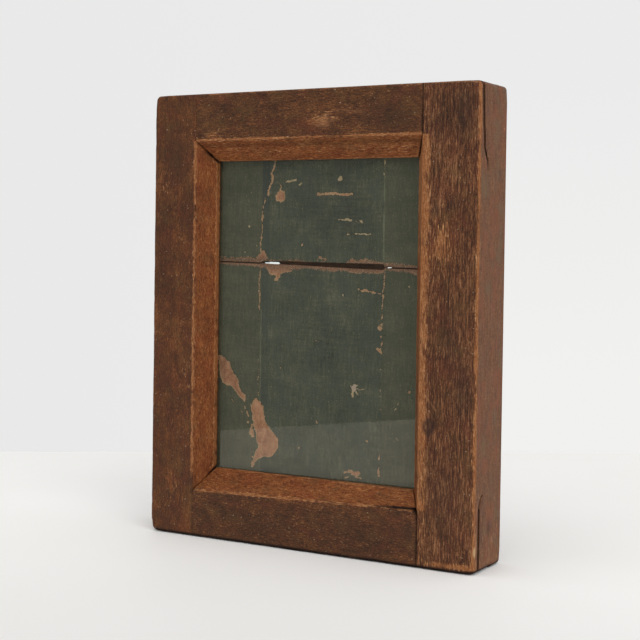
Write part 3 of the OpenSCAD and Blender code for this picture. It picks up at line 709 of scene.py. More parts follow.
# Lining, glass, back
def lining_finish():
    f = Finish("green_lining")
    worn = f.mark("worn") * 3.0
    lumps = f.spread((1, 1, 1), 1.4, 3.0, 0.65)
    crumbs = f.spread((1, 1, 1), 0.45, 2.0, 0.6, 0.0, (4, 2, 1))
    dirty = f.mark("dirty")
    ragged = worn + (lumps - 0.5) * 1.3 + (crumbs - 0.5) * (1.1 + dirty * 3.0)
    bare = ragged.rise(-0.1, 0.14)
    weave = f.spread((1.3, 1, 1.6), 0.5, 2.0, 0.7, 0.0, (1, 7, 3))
    clouds = f.spread((1.6, 1, 1), 14, 3.0, 0.6, 0.5)
    streaks = f.spread((9, 1, 1), 1.1, 2.0, 0.6, 0.0, (3, 3, 9))
    upright = f.spread((1, 1, 8), 1.2, 2.0, 0.6, 0.0, (6, 3, 2))
    threads = f.spread((1, 1, 6), 0.55, 2.0, 0.6, 0.0, (9, 3, 5))
    cleat = f.mark("cleat")
    smear = f.mark("smear")
    tone = 0.5 + (weave - 0.5) * 0.8 + (clouds - 0.5) * 0.8 + (streaks - 0.5) * (0.3 + smear)
    tone = tone + (upright - 0.5) * 0.5 + (threads - 0.5) * 0.55
    green = f.ramp(tone, (0.1, (48, 53, 46)), (0.5, (70, 72, 60)), (0.9, (98, 96, 79)))
    green = f.blend(cleat * 0.35, green, (79, 77, 61))
    cool = f.spread((1, 1, 1), 9, 3.0, 0.6, 0.3, (7, 7, 2))
    green = f.blend((cool - cleat * 0.3 - 0.42).kept() * 2.0, green, (62, 68, 63))
    green = f.blend((cleat * -1.0).kept(), green, (57, 61, 56))
    scratch = (f.mark("scratch") + (crumbs - 0.5) * 1.2 + (upright - 0.5) * 1.6).rise(0.35, 0.9)
    green = f.blend(scratch * 0.4, green, (118, 119, 94))
    green = f.blend((smear * (streaks - 0.25) * 1.8).kept() * 0.5, green, (44, 45, 42))
    grit = f.spread((1, 1, 1), 0.62, 0.0, 0.5, 0.0, (8, 2, 5)).rise(0.74, 0.86)
    green = f.blend(grit * 0.5, green, (134, 120, 92))
    dark = f.spread((3, 1, 1.2), 0.9, 2.0, 0.6, 0.0, (2, 8, 5)).rise(0.66, 0.78)
    green = f.blend(dark * 0.4, green, (38, 37, 32))

    shade = f.spread((1, 1, 1.6), 2.6, 3.0, 0.65, 0.3, (5, 1, 1)) * 0.6 + crumbs * 0.4
    wood = f.ramp(shade, (0.32, (112, 73, 54)), (0.5, (147, 104, 79)), (0.68, (172, 132, 104)))
    rim = ragged.rise(0.9, 0.1) * (0.4 + lumps)
    wood = f.blend(rim * 0.5, wood, (160, 142, 108))
    chalk = f.mark("chalk")
    pale = f.ramp(chalk, (0.75, (150, 142, 110)), (0.95, (152, 138, 126)))
    wood = f.blend(chalk * 0.8, wood, pale)
    # Narrow bare lines are paler than the dirty wood beside the split
    grain = crumbs * 0.6 + lumps * 0.4
    rubbed = f.ramp(grain, (0.35, (72, 52, 43)), (0.5, (103, 75, 61)), (0.65, (146, 114, 92)))
    wood = f.blend(dirty * 0.8, wood, rubbed)
    colour = f.blend(bare, green, wood)
    edge = ragged.rise(-0.5, -0.05) * (1.0 - bare)
    colour = f.blend(edge * 0.4, colour, (40, 35, 28))
    colour = f.add("ShaderNodeVectorMath", {"operation": "SCALE"}, {0: colour, "Scale": 1.1})[0]
    normal = f.relief(weave * 0.2 + crumbs * 0.1 - bare * 0.9, 0.1, 0.45)
    roughness = 0.8 + (weave - 0.5) * 0.2
    return f.skin(Base_Color=colour, Roughness=roughness, Normal=normal, Specular_IOR_Level=0.2)


# Outlines of the places where the green has gone, as x and z
BARE_OUTLINES = [
    [(-58.9, 91.9), (-51.8, 88.2), (-49.9, 83.2), (-46.4, 79.7), (-45.9, 75.4), (-41.9, 72.3),
     (-42.3, 68.3), (-45.4, 70.2), (-51.1, 76.5), (-55.5, 76.6), (-57.8, 81.2)],
    [(-35.8, 71.3), (-31.5, 67.6), (-30.1, 58.9), (-25.8, 54.9), (-21.9, 50.9), (-22.3, 46.5),
     (-26.4, 41.4), (-31.5, 41.3), (-34.9, 40.3), (-37.4, 34.6), (-39.2, 35.5), (-36.3, 42.4),
     (-34.2, 46.9), (-36.4, 54.1), (-37.8, 61.3), (-38.8, 67.0)],
    [(-38.2, 58.3), (-40.3, 52.3), (-36.4, 51.1)],
    [(-32.3, 146.2), (-29.7, 140.7), (-37.8, 140.7)],
    [(-26, 173.4), (-23.6, 176.2), (-20.6, 174.4), (-20.4, 171.4), (-23, 169.3), (-25.8, 170.6)],
    [(-33, 137.8), (-16.6, 137.6), (-16.2, 135.4), (-20, 135), (-22.6, 133.4), (-24, 130.4),
     (-26.2, 130.6), (-25.4, 133.2), (-28.6, 134.2), (-31, 136.4)],
]
# Bare lines, each with its half width, and how far noise breaks it into dots
BARE_LINES = [
    # Over the joint of the left cleats
    ([(-33.2, 190.2), (-33.4, 176)], -0.5, 0.3), ([(-33.2, 163.5), (-33.3, 160.5)], 0.5, 0.2),
    ([(-32, 172), (-33.3, 165), (-33.4, 158), (-34.4, 150), (-33.7, 145)], 0.26, 0.3),
    ([(-34.2, 137), (-34.9, 128), (-34.6, 116)], 0.28, 0.3),
    ([(-34.6, 116), (-34.9, 95), (-34.7, 72)], -0.02, 0.5),
    # Over the joint of the right cleats
    ([(35, 189.2), (36, 165), (36.9, 139.7)], -0.35, 0.5), ([(34.8, 189.5), (34.9, 181.5)], 0.3, 0.8),
    ([(35.6, 136), (35.2, 128), (34.5, 118)], 0.38, 0.5),
    ([(34.5, 118), (34.6, 106.9), (34.4, 98)], 0.2, 0.9),
    ([(34.4, 98), (34.3, 70)], -0.05, 0.8), ([(34.3, 70), (34.2, 40.3)], -0.3, 0.8),
    ([(34.3, 49), (34.2, 46)], 0.35, 0.4), ([(34.2, 40.6), (34.2, 38)], 0.6, 0.4),
    ([(33.2, 109.3), (33.6, 108.9)], 0.95, 0.4), ([(33.1, 98.6), (33.8, 98)], 0.8, 0.5),
    # Beside the split
    ([(-1, 142), (1.2, 141.8), (3.6, 141.4)], 0.45, 0.9),
    ([(15.4, 140.6), (21.4, 141), (26, 141.3), (30.5, 140.4)], 0.75, 0.9),
    ([(-48, 141.4), (-38, 141)], 0.6, 0.8), ([(-60, 141.4), (-50, 141.2)], 0.4, 0.9),
    # Scratches on the upper leaf
    ([(-26.4, 190.4), (-26.9, 187.2), (-28.4, 184.8), (-27.4, 182.4), (-28.6, 179.4), (-29.8, 176.2),
      (-30.1, 173.4)], 0.46, 0.35),
    ([(-29.2, 178.5), (-30, 176.6), (-29.6, 173.2)], 0.2, 0.4), ([(-23.2, 176), (-23, 178.7)], 0.1, 0.4),
    ([(-1.9, 173.6), (8, 173.9), (17.4, 173.3)], 0.62, 0.45), ([(10.8, 181.1), (10.9, 181.3)], 1.15, 0.3),
    ([(11.2, 183.5), (11, 189.5)], -0.1, 0.4), ([(10.4, 161.3), (13.4, 161.1), (16.8, 161.3)], 0.55, 0.7),
    ([(20.4, 160.6), (22.9, 160.6)], 0.25, 1), ([(15, 154.1), (21, 154.3), (27.6, 154)], 0.2, 1),
    ([(-19.9, 179.6), (-14.1, 181.1)], 0.42, 0.15),
    # Scratches on the lower leaf
    ([(21.3, 127.4), (26.6, 126.6)], 0.55, 0.8), ([(13.2, 124.6), (13.7, 123.6)], 0.15, 0.3),
    ([(26.6, 126.6), (30.4, 126.4), (34.2, 125.6), (35.2, 127.5)], 0.18, 0.6),
    ([(-51, 69.1), (-43.1, 62.3)], 0.05, 0.5), ([(-37.8, 45), (-38.3, 38)], 0.15, 0.6),
    ([(-42.5, 66), (-40.5, 61.5), (-41, 57), (-38.5, 51)], 0.2, 0.6),
    ([(41, 67.9), (44.4, 74.3)], 0, 0.5), ([(41.2, 59.6), (44.3, 55.7)], 0, 0.5),
    ([(-3.6, 101.4), (0.4, 100.9)], 0.1, 0.8), ([(-1.8, 66.8), (-0.5, 61.2)], 0, 0.5),
    ([(16, 38.2), (18, 38.9)], 0.6, 0.9), ([(19.5, 38.4), (23, 37.6)], 1.1, 1.1),
    ([(21.5, 36.2), (24, 36)], 0.7, 1), ([(13.8, 35.6), (17, 35.4)], 0.3, 1),
    # The bruise and its rays
    ([(19.7, 79.9), (20.2, 79)], 1.2, 0.6), ([(20, 79.4), (19.2, 75.4)], 0.6, 0.5),
    ([(20, 79.4), (19.6, 81.4)], 0.4, 0.3), ([(20, 79.4), (26, 79.2)], 0.28, 0.45),
    ([(20, 79.4), (22.6, 76)], 0.4, 0.45), ([(20, 79.4), (17.8, 80.2)], 0.4, 0.3),
    ([(20, 79.4), (21.8, 80.8)], 0.35, 0.3),
]
# Single dots, as both ends across, z, and the same two measures
BARE_DOTS = [
    (-40.4, -40.3, 174.6, 0.35, 0.1), (-12.2, -11.8, 178.5, 0.45, 0.1), (-36.7, -36.6, 147.7, 0.3, 0.1),
    (-43.6, -43.5, 144.6, 0.35, 0.1), (-10.1, -9.9, 148.5, 0.65, 0.3), (-11.2, -11.1, 178.9, 0.3, 0.2),
    (-41.5, -41.4, 157.3, 0.6, 0.1), (48.4, 48.5, 129.3, 0.35, 0.1), (49.5, 49.7, 79.8, 0.6, 0.3),
    (-21.6, -21.4, 86.7, 0.4, 0.3), (-4.7, -4.5, 96.9, 0.4, 0.4), (27.1, 27.3, 54.3, 0.5, 0.2),
    (-10.7, -10.5, 47.5, 0.45, 0.2),
]
BARE_LINES += [([(a, z), (b, z)], half, dotted) for a, b, z, half, dotted in BARE_DOTS]
# How wide the rubbed bands below and above the split are, at places across
BELOW_X = [-60, -40, -34, -16, 0, 34.5, 35.5, 42, 52, 60]
BELOW = [1.6, 1.5, 1.8, 2, 2.3, 3.4, 1.2, 1.4, 2.4, 1.6]
ABOVE_X = [-60, -34, -20, 0, 18, 26, 33, 45, 60]
ABOVE = [1, 1.2, 1.9, 1.5, 1.8, 3, 1.8, 1.4, 1.4]
# How far the linings of both leaves stay from the split, at places across
EDGE_X = [-33.8, -33.4, -22, 35, 35.3, 36.2, 37.6, 38.8, 39.8]
UPPER_EDGE = [0.35, 0.9, 1.45, 1.7, 0.35, 0.5, 1.05, 0.6, 0.35]
LOWER_EDGE = [0.35, 0.2, 0.3, 1.3, 0.35, 0.5, 0.75, 0.5, 0.35]
# Pale specks, as x, z and reach
CHALK = [
    (24, 79, 6), (45, 68, 10), (34.9, 185, 6), (-40.4, 174.6, 2), (-12, 178.5, 2.5), (-36.7, 147.7, 2),
    (-43.6, 144.6, 2), (-41.5, 157.3, 2.5), (16, 161, 9), (24, 154, 9), (10.8, 181.2, 3), (-17, 180.4, 5),
    (44, 57, 6), (48.4, 129.3, 3), (13.4, 124, 3),
]
SMEARS = [(12, 164, 34, 24, 0.9), (-26, 183, 9, 12, 0.8), (4, 105, 30, 30, 0.5)]


def split_at(x):
    return SPLIT_Z - SPLIT_FALL * (x - MIDDLE_X)


def cleat_joint(x):
    """Distance to the nearer joint between a panel and its cleats."""
    return np.minimum(np.abs(x - CLEAT_L), np.abs(x - CLEAT_R))


def bareness(x, z):
    """How far inside a bare place each point is, in millimetres, and less than 0 on the green."""
    p = np.stack([x, z, np.zeros(len(x))], 1)
    bent = np.stack([x + 0.4 * smooth_noise(p, 3.1, 3) + 0.2 * smooth_noise(p, 1.2, 5),
                     z + 0.4 * smooth_noise(p, 2.9, 6) + 0.2 * smooth_noise(p, 1.3, 7)], 1)
    breaks = 0.6 * smooth_noise(p, 1.5, 17) + 0.4 * smooth_noise(p, 0.8, 19)
    best = np.full(len(x), -3.0)
    for outline in BARE_OUTLINES:
        best = np.maximum(best, to_outline(bent, outline) + 0.7 * breaks)
    for line, half, dotted in BARE_LINES:
        best = np.maximum(best, half - to_line(bent, line) + dotted * breaks)
    # Rubbed bands along both sides of the split
    line = split_at(x)
    ragged = 1.0 * smooth_noise(p, 6.5, 23) + 0.7 * smooth_noise(p, 2.1, 29)
    below, above = np.interp(x, BELOW_X, BELOW), np.interp(x, ABOVE_X, ABOVE)
    ends = np.where(z < line, z - line + below, line + above - z)
    return np.maximum(best, np.maximum(ends + ragged * 0.6, np.where(np.abs(z - line) < 0.9, 0.4, -3)))


def chalky(x, z):
    faint = np.clip(sum(near(np.hypot(x - cx, z - cz), reach) * 1.6 for cx, cz, reach in CHALK), 0, 0.78)
    return np.maximum(faint, near(np.hypot(x - 20.2, z - 79.5), 5.5) ** 0.4)


def slab(name, fronts, back, nx, nz):
    """A closed mesh from nz rows of nx front points and a flat back, in millimetres."""
    count = nx * nz
    backs = fronts.copy()
    backs[:, 1] = back
    i = (np.arange(nz - 1)[:, None] * nx + np.arange(nx - 1)[None, :]).ravel()
    near_side = np.stack([i, i + 1, i + nx + 1, i + nx], 1)
    rim = np.concatenate([
        np.arange(nx - 1), np.arange(nz - 1) * nx + nx - 1,
        (nz - 1) * nx + np.arange(nx - 1, 0, -1), np.arange(nz - 1, 0, -1) * nx,
    ])
    after = np.roll(rim, -1)
    walls = np.stack([after, rim, rim + count, after + count], 1)
    faces = np.concatenate([near_side, near_side[:, ::-1] + count, walls])
    co = np.concatenate([fronts, backs])
    co[:, 1] -= DEEP / 2
    mesh = bpy.data.meshes.new(name)
    mesh.from_pydata((co * MM).tolist(), [], faces.tolist())
    return link(name, mesh)


def lining(leaf, material):
    """A thin lining whose front is worn, with real edges to the bare places."""
    node = leaf + "_lining"
    low, high = [np.array(c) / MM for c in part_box(node)]
    # Fine enough for the edges of the bare places, with the larger leaf under 200,000 triangles
    step = 0.45 if leaf == "upper" else 0.52
    columns = np.linspace(low[0], high[0], int((high[0] - low[0]) / step) + 1)
    rows = np.linspace(0, 1, int((high[2] - low[2]) / step) + 1)
    bottom, top = np.full(len(columns), low[2]), np.full(len(columns), high[2])
    if leaf == "upper":
        bottom = split_at(columns) + np.interp(columns, EDGE_X, UPPER_EDGE)
    else:
        top = split_at(columns) - np.interp(columns, EDGE_X, LOWER_EDGE)
    x = np.tile(columns, len(rows))
    z = (bottom[None, :] + rows[:, None] * (top - bottom)[None, :]).ravel()
    flat = np.stack([x, np.zeros(len(x)), z], 1)
    worn = bareness(x, z)
    gone = np.clip((worn + 0.35 * smooth_noise(flat, 1.1, 8)) / 0.5, 0, 1)
    face = low[1] + DEEP / 2 + 0.05 + 0.04 * ripple(flat, 22, 9) + gone * 0.22
    face += near(cleat_joint(x), 0.6) * 0.1
    piece = slab(node + "_worn", np.stack([x, face, z], 1), high[1] + DEEP / 2, len(columns), len(rows))

    x, z, worn = np.tile(x, 2), np.tile(z, 2), np.tile(worn, 2)
    cleat = ((x < CLEAT_L) | (x > CLEAT_R)) * 1.0
    beside = ((x > CLEAT_L) & (x < -29)) * np.interp(z, [20, 150, 180], [0.2, 0.3, 0.8])
    joints = near(x - 34.9, 0.75) * (z > 142) + near(x + 33.5, 0.7) * (z < 116) * 0.95
    dirty = np.clip(1.5 - np.abs(z - split_at(x)) / 3.6, 0, 1)
    painted(piece, worn=worn / 3.0, smear=spots(x, z, SMEARS), cleat=cleat - beside, dirty=dirty,
            chalk=chalky(x, z), scratch=joints)
    finished(piece, node, leaf + "_leaf", material)


green = lining_finish()
for leaf in ("upper", "lower"):
    lining(leaf, green)


def glass_finish():
    f = Finish("old_glass")
    clear = f.add("ShaderNodeBsdfTransparent", None, {"Color": (0.97, 0.985, 0.97, 1)})[0]
    shine = f.add("ShaderNodeBsdfGlossy", None, {"Color": (1.0, 0.88, 0.76, 1), "Roughness": 0.02})[0]
    # The reflection on the near face stands for those of both faces
    gloss = f.add("ShaderNodeFresnel", None, {"IOR": 1.52})[0] * 1.22
    inside = f.add("ShaderNodeNewGeometry")[6]
    f.ends(f.add("ShaderNodeMixShader", None, {0: gloss.kept() * (1.0 - inside), 1: clear, 2: shine})[0])
    return f.material


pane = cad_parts["glass_pane"].data
pane.materials.clear()
pane.materials.append(glass_finish())


# Back boards
BOARD = [(58, 38, 29), (86, 59, 43), (110, 78, 56), (142, 106, 78)]
BOARD_FIGURE = (0.9, 0.6, 0.9, 0.7, 0.4, 0.4)
board_across = old_wood("back_board_panel", 0, BOARD, BOARD[:3], BOARD_FIGURE)
board_up = old_wood("back_board_cleat", 2, BOARD, BOARD[:3], BOARD_FIGURE)
# The eye's place as the boards see it: across, and in front of the frame's front face
EYE_ACROSS, EYE_AWAY = 326.6, 567.4


def board(leaf, part, material, along):
    """A panel or a cleat of the back, with eased edges, worn where fingers and springs rub it."""
    node = leaf + part
    piece, p, n = even(node, node + "_wood", 0.62)
    low, high = p.min(0), p.max(0)
    x, depth, z = p.T.copy()
    behind = high[1] - depth
    line = split_at(x)
    outside = (x - BOARD_L, x - BOARD_R, z - BOARD_LOW, z - BOARD_TOP, z - line)
    edge = np.minimum.reduce([np.hypot(away, behind) for away in outside])
    p[:, 1] -= near(edge, 1.5) * 0.5 * (behind < 0.6)
    # Behind the split the boards nearly meet, and light comes through only past both ends of the hinge
    sight = x + (depth - 14.5) * (EYE_ACROSS - x) / (EYE_AWAY + depth)
    closed = (sight < -31.6) | ((sight > -22.8) & (sight < 36.2)) | (sight > 39.6)
    to_split = np.abs(z - line)
    shut = (to_split < 2.2) * (depth > low[1] + 2.2) * (behind > 0.8)
    reach = np.where(closed, to_split - 0.03, np.clip(to_split - 0.7, 0, 0.9))
    p[:, 2] += np.sign(line - z) * shut * reach * (np.abs(x - MIDDLE_X) < 61)
    grime = near(cleat_joint(x), 0.7) * (behind < 0.8) * 0.8
    # Painted shade in the split between the boards, where little light reaches
    grime = np.maximum(grime, (to_split < 2.2) * (behind > 0.8) * 0.45)
    rivet_z = UPPER_RIVET if leaf == "upper" else LOWER_RIVET
    swept = np.hypot(x - MIDDLE_X, z - rivet_z)
    rubbed = near(swept - 52, 9) * near((z - rivet_z) / 12, 1.0) * (behind < 0.4) * 0.55
    wear = np.maximum(near(edge, 1.9) * 0.8, rubbed)
    stain = (near(swept, 17) * 0.5 + near(z - line, 9) * (np.abs(x - 3) < 34) * 0.35) * (behind < 0.5)
    p[:, 1] -= (0.05 + 0.05 * ripple(p, 34, 51)) * (behind < 0.4)
    reshape(piece, p)
    none = np.zeros(len(p))
    painted(piece, wear=wear, grime=grime, stain=stain, pale=none, side=none, bevel=none,
            end_grain=(np.abs(n[:, along]) > 0.8) * 0.8)
    finished(piece, node, leaf + "_leaf", material)


for leaf in ("upper", "lower"):
    board(leaf, "_panel", board_across, 0)
    board(leaf, "_left_cleat", board_up, 2)
    board(leaf, "_right_cleat", board_up, 2)


# Metal
def metal(name, tones, rust, rust_amount, roughness, metallic):
    """Old metal: its own tones, scratches along it, and rust or tarnish in patches."""
    f = Finish(name)
    clouds = f.spread((1, 1, 1), 7, 3.0, 0.6, 0.4)
    fine = f.spread((1, 1, 1), 0.6, 3.0, 0.65, 0.0, (3, 1, 2))
    scratches = f.spread((9, 1, 1), 0.3, 1.0, 0.5, 0.0, (1, 5, 7))
    tone = 0.5 + (clouds - 0.5) * 0.8 + (scratches - 0.5) * 0.7 + (fine - 0.5) * 0.3
    bright = f.ramp(tone, *zip((0.2, 0.5, 0.8), tones))
    patches = (clouds * 0.55 + fine * 0.45 + rust_amount * 0.2).rise(0.5, 0.62)
    colour = f.blend(patches * 0.85, bright, f.ramp(fine, *zip((0.3, 0.7), rust)))
    normal = f.relief(fine * 0.5 + scratches * 0.3 + patches * 0.5, 0.06, 0.7)
    rough = (roughness + (scratches - 0.5) * 0.25 + patches * 0.35).kept()
    bright = (1.0 - patches * 0.9) * metallic
    return f.skin(Base_Color=colour, Metallic=bright, Roughness=rough, Normal=normal)


RUST = [(66, 40, 28), (110, 70, 44)]
TARNISH = [(70, 54, 34), (96, 78, 48)]
SPRING = [(96, 92, 88), (136, 132, 126), (170, 166, 158)]
IRON = [(38, 32, 33), (52, 45, 45), (78, 70, 68)]
BRASS = [(112, 88, 48), (158, 128, 74), (190, 162, 102)]
STEEL = [(84, 78, 72), (122, 116, 108), (158, 150, 140)]
spring_steel = metal("old_spring_steel", SPRING, RUST, 0.35, 0.36, 0.9)
hinge_iron = metal("black_hinge_iron", IRON, RUST, 0.1, 0.5, 0.55)
brass = metal("dull_brass", BRASS, TARNISH, 0.2, 0.38, 0.95)
screw_steel = metal("old_screw_steel", STEEL, RUST, 0.4, 0.42, 0.9)


def eased(node, name, body, slot, material, width):
    """A metal part with its edges rounded a little."""
    piece = whole(node, name)
    if slot == "hinge_iron":
        # The hinge stops short of where light comes through the split
        for vertex in piece.data.vertices:
            if vertex.co.x > 32 * MM:
                vertex.co.x -= 1.7 * MM
    soft = piece.modifiers.new("eased", "BEVEL")
    soft.width, soft.segments = width * MM, 2
    soft.limit_method, soft.angle_limit = "ANGLE", math.radians(28)
    soft.use_clamp_overlap = True
    baked(piece)
    finished(piece, node, body, material, 40)


for leaf in ("upper", "lower"):
    body = leaf + "_leaf"
    eased(leaf + "_spring", leaf + "_bow_spring", leaf + "_bow", "spring_steel", spring_steel, 0.14)
    eased("hinge_leaf_" + leaf, leaf + "_hinge_plate", body, "hinge_iron", hinge_iron, 0.16)
    eased(leaf + "_spring_rivet", leaf + "_rivet_head", body, "brass", brass, 0.12)
    eased(leaf + "_spring_washer", leaf + "_washer", body, "brass", brass, 0.12)
eased("hinge_pin", "hinge_pin_ends", "lower_leaf", "hinge_iron", hinge_iron, 0.12)
for node in [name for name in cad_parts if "catch" in name and "screw" not in name]:
    eased(node, node + "_plate", "frame", "brass", brass, 0.18)


# Screws
HEAD_RADIUS = 2.0 * MM
# Half a head in section, as radius and height, in parts of its radius
HEAD = [
    (0.0, 0.0), (0.45, -0.012), (0.8, -0.035), (0.95, -0.07),
    (1.0, -0.13), (0.99, -0.2), (0.62, -0.56), (0.0, -0.6),
]


def islands(node):
    """The middle and the highest depth of each loose part of a CAD node, in metres."""
    piece = whole(node, "source")
    bm = bmesh.new()
    bm.from_mesh(piece.data)
    left, found = set(bm.verts), []
    while left:
        start = left.pop()
        part, edge = [start], [start]
        while edge:
            for other in (e.other_vert(v) for v in [edge.pop()] for e in v.link_edges):
                if other in left:
                    left.discard(other)
                    part.append(other)
                    edge.append(other)
        co = np.array([v.co for v in part])
        (x, _, z), depth = (co.min(0) + co.max(0)) / 2, co[:, 1].max()
        found.append((x, depth, z))
    bm.free()
    bpy.data.objects.remove(piece)
    return sorted(found)


def screw_head():
    """One slotted head, 1 unit in radius, that faces +Y at the origin."""
    bm = bmesh.new()
    turns, rings = 40, []
    for radius, rise in HEAD:
        angles = [2 * math.pi * i / turns for i in range(turns if radius else 1)]
        rings.append([bm.verts.new((radius * math.cos(a), rise, radius * math.sin(a))) for a in angles])
    for one, two in zip(rings[:-1], rings[1:]):
        for i in range(turns):
            j = (i + 1) % turns
            ring = [one[i % len(one)], one[j % len(one)], two[j % len(two)], two[i % len(two)]]
            bm.faces.new(list(dict.fromkeys(ring)))
    bmesh.ops.recalc_face_normals(bm, faces=bm.faces[:])
    head = link("screw_head", drawn("screw_head", bm))
    bm = bmesh.new()
    bmesh.ops.create_cube(bm, size=1.0)
    bmesh.ops.scale(bm, vec=(2.4, 0.36, 0.25), verts=bm.verts[:])
    slot = link("slot", drawn("slot", bm))
    cut = head.modifiers.new("slot", "BOOLEAN")
    cut.operation, cut.object, cut.solver = "DIFFERENCE", slot, "EXACT"
    baked(head)
    bpy.data.objects.remove(slot)
    return head


def screw_tree():
    """Sets the same head on every point, each turned its own way."""
    tree = bpy.data.node_groups.new("row_of_screws", "GeometryNodeTree")
    face, make = tree.interface, tree.nodes.new
    face.new_socket("Geometry", in_out="INPUT", socket_type="NodeSocketGeometry")
    kinds = {"Head": "Object", "Radius": "Float", "Seed": "Int", "Finish": "Material"}
    sockets = {
        label: face.new_socket(label, in_out="INPUT", socket_type="NodeSocket" + kind).identifier
        for label, kind in kinds.items()
    }
    face.new_socket("Geometry", in_out="OUTPUT", socket_type="NodeSocketGeometry")
    given, result = make("NodeGroupInput"), make("NodeGroupOutput")
    head, place = make("GeometryNodeObjectInfo"), make("GeometryNodeInstanceOnPoints")
    turn, spin = make("FunctionNodeRandomValue"), make("ShaderNodeCombineXYZ")
    solid, finish = make("GeometryNodeRealizeInstances"), make("GeometryNodeSetMaterial")
    turn.data_type = "FLOAT"
    turn.inputs[2].default_value, turn.inputs[3].default_value = -1.2, 1.2
    for source, out, target, into in (
        (given, "Head", head, "Object"), (given, "Seed", turn, "Seed"), (turn, 1, spin, "Y"),
        (given, "Geometry", place, "Points"), (head, "Geometry", place, "Instance"),
        (spin, 0, place, "Rotation"), (given, "Radius", place, "Scale"),
        (place, "Instances", solid, "Geometry"), (solid, "Geometry", finish, "Geometry"),
        (given, "Finish", finish, "Material"), (finish, "Geometry", result, "Geometry"),
    ):
        tree.links.new(source.outputs[out], target.inputs[into])
    return tree, sockets


head = screw_head()
tree, sockets = screw_tree()
for node, body, seed in (
    ("catch_screws", "frame", 4),
    ("hinge_screws_upper", "upper_leaf", 7),
    ("hinge_screws_lower", "lower_leaf", 9),
):
    mesh = bpy.data.meshes.new(node + "_heads")
    mesh.from_pydata(islands(node), [], [])
    row = link(node + "_heads", mesh)
    modifier = row.modifiers.new("screws", "NODES")
    modifier.node_group = tree
    for label, given in (("Head", head), ("Radius", HEAD_RADIUS), ("Seed", seed), ("Finish", screw_steel)):
        modifier[sockets[label]] = given
    baked(row)
    finished(row, node, body, screw_steel, 35)
bpy.data.objects.remove(head)


# Stage, light and camera
PICTURE, SENSOR = 640, 36.0
FOCAL, CENTRE = 1357.38, (309.26, 273.55)
YAW, PITCH, ROLL = 0.519021, 0.021444, 0.013886
EYE = Vector((0.326587, -0.583443, 0.148885))
ahead = Vector((-math.sin(YAW) * math.cos(PITCH), math.cos(YAW) * math.cos(PITCH), -math.sin(PITCH)))
level = ahead.cross(Vector((0, 0, 1))).normalized()
upright = level.cross(ahead)
right = level * math.cos(ROLL) + upright * math.sin(ROLL)
up = upright * math.cos(ROLL) - level * math.sin(ROLL)

lens = bpy.data.cameras.new("camera")
lens.sensor_width, lens.lens = SENSOR, FOCAL * SENSOR / PICTURE
lens.shift_x, lens.shift_y = (PICTURE / 2 - CENTRE[0]) / PICTURE, (CENTRE[1] - PICTURE / 2) / PICTURE
lens.clip_start, lens.clip_end = 0.01, 20.0
camera = link("camera", lens)
camera.matrix_world = Matrix.Translation(EYE) @ Matrix((right, up, -ahead)).transposed().to_4x4()
bpy.context.scene.camera = camera

FLOOR_Z = -0.0002
# How far down the picture the table ends, and two places on its front left edge, in metres
FAR_EDGE = 451.5
FRONT_A, FRONT_B = np.array([-0.272, -0.320]), np.array([-0.174, -0.476])


def seen_on_floor(across, down):
    """Where a place in the picture lies on the floor."""
    ray = ahead * FOCAL + right * (across - CENTRE[0]) - up * (down - CENTRE[1])
    spot = EYE + ray * ((FLOOR_Z - EYE.z) / ray.z)
    return np.array([spot.x, spot.y])


def direction(start, end):
    return (end - start) / np.linalg.norm(end - start)


def floor_finish():
    f = Finish("pale_floor")
    cloud = f.spread((1, 1, 1), 160, 2.0, 0.5)
    dust = f.spread((1, 1, 1), 2.2, 2.0, 0.6).rise(0.76, 0.84)
    colour = f.ramp(cloud, (0.3, (249, 248, 245)), (0.7, (252, 251, 249)))
    across, toward = f.add("ShaderNodeSeparateXYZ", None, {0: f.place})[:2]
    # Painted shade: the floor's colour is darker towards the near side and the right, to take down the light
    # that falls there
    colour = f.blend((toward - across * 0.35).rise(0.0, -0.32), colour, (234, 232, 230))
    colour = f.blend(dust * 0.12, colour, (170, 168, 164))
    return f.skin(Base_Color=colour, Roughness=0.6, Specular_IOR_Level=0.2)


# The table ends behind the frame, along the line in the picture, and at the front left
far_a, far_b = seen_on_floor(0, FAR_EDGE), seen_on_floor(PICTURE, FAR_EDGE)
along_far, along_front = direction(far_a, far_b), direction(FRONT_A, FRONT_B)
meet = np.linalg.solve(np.stack([along_far, -along_front], 1), FRONT_A - far_a)[0]
table = [
    FRONT_B + along_front * 1.2, FRONT_B + along_front * 2.2 + along_far * 1.9,
    far_b + along_far * 1.3, far_a + along_far * meet,
]
mesh = bpy.data.meshes.new("floor")
mesh.from_pydata([(x, y, FLOOR_Z) for x, y in table], [], [(0, 1, 2, 3)])
floor = link("floor", mesh)
floor.data.materials.append(floor_finish())

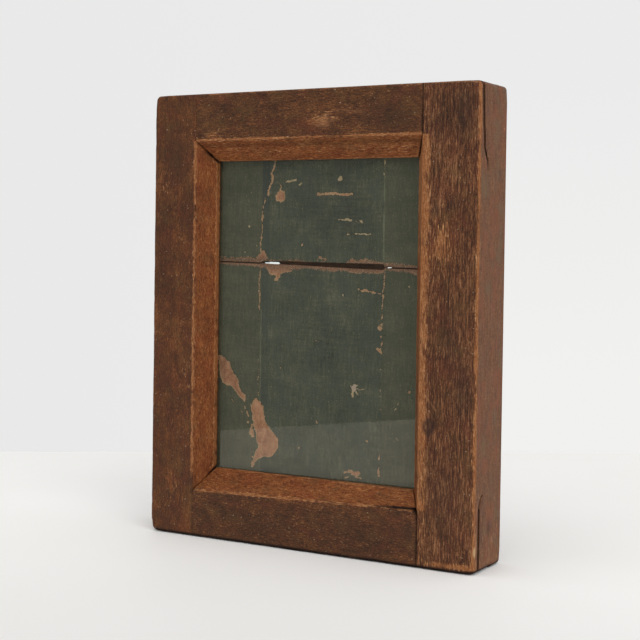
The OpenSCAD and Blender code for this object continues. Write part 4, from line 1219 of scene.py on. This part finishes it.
BACKDROP, BACKDROP_RIGHT, BACKDROP_LOW = (233, 233, 233), (235, 235, 235), (241, 241, 239)
DIM_ROOM = (114.547, 114.547, 114.547)
bpy.context.scene.world = bpy.data.worlds.new("studio")
studio = Nodes(bpy.context.scene.world, "ShaderNodeOutputWorld")
ray = {value.socket.name: value for value in studio.add("ShaderNodeLightPath")}
generated = studio.add("ShaderNodeTexCoord")[0]
rightward, backward, upward = studio.add("ShaderNodeSeparateXYZ", None, {0: generated})
# The backdrop that is seen is a little paler at the right, and paler still where it meets the floor there
low_right = studio.blend(upward.ranged(0.12, -0.09, 0.0, 1.0), BACKDROP_RIGHT, BACKDROP_LOW)
backdrop = studio.blend(rightward.ranged(-0.62, -0.37, 0.0, 1.0), BACKDROP, low_right)
# The room on the near side of the table is dimmer than the backdrop, as the glass shows
mirrored = ray["Is Glossy Ray"] * backward.ranged(0.1, -0.5, 0.0, 1.0)
seen = studio.blend(mirrored, backdrop, DIM_ROOM)
direct = ray["Is Camera Ray"].largest(ray["Is Glossy Ray"]).largest(ray["Is Transmission Ray"])
# The light of the studio comes more from the front than from behind
strength = backward.ranged(-1.0, 1.0, 1.02, 0.42) + rightward.ranged(-1.0, 1.0, -0.08, 0.08)
light = studio.add("ShaderNodeBackground", None, {"Color": (1, 1, 1, 1), "Strength": strength})[0]
plain = studio.add("ShaderNodeBackground", None, {"Color": seen})[0]
studio.ends(studio.add("ShaderNodeMixShader", None, {0: direct, 1: light, 2: plain})[0])


def softbox(name, place, aim, size, power):
    data = bpy.data.lights.new(name, "AREA")
    data.shape, data.size, data.size_y, data.energy = "RECTANGLE", size, size, power
    turn = (Vector(place) - Vector(aim)).to_track_quat("Z", "Y").to_matrix().to_4x4()
    link(name, data).matrix_world = Matrix.Translation(place) @ turn


softbox("key_light", (1.9, -1.7, 2.3), (0, 0, 0.1), 1.8, 24.0)
softbox("top_light", (0.2, -0.5, 2.8), (0, 0, 0), 1.8, 12.0)

bpy.context.scene.view_settings.view_transform = "Standard"
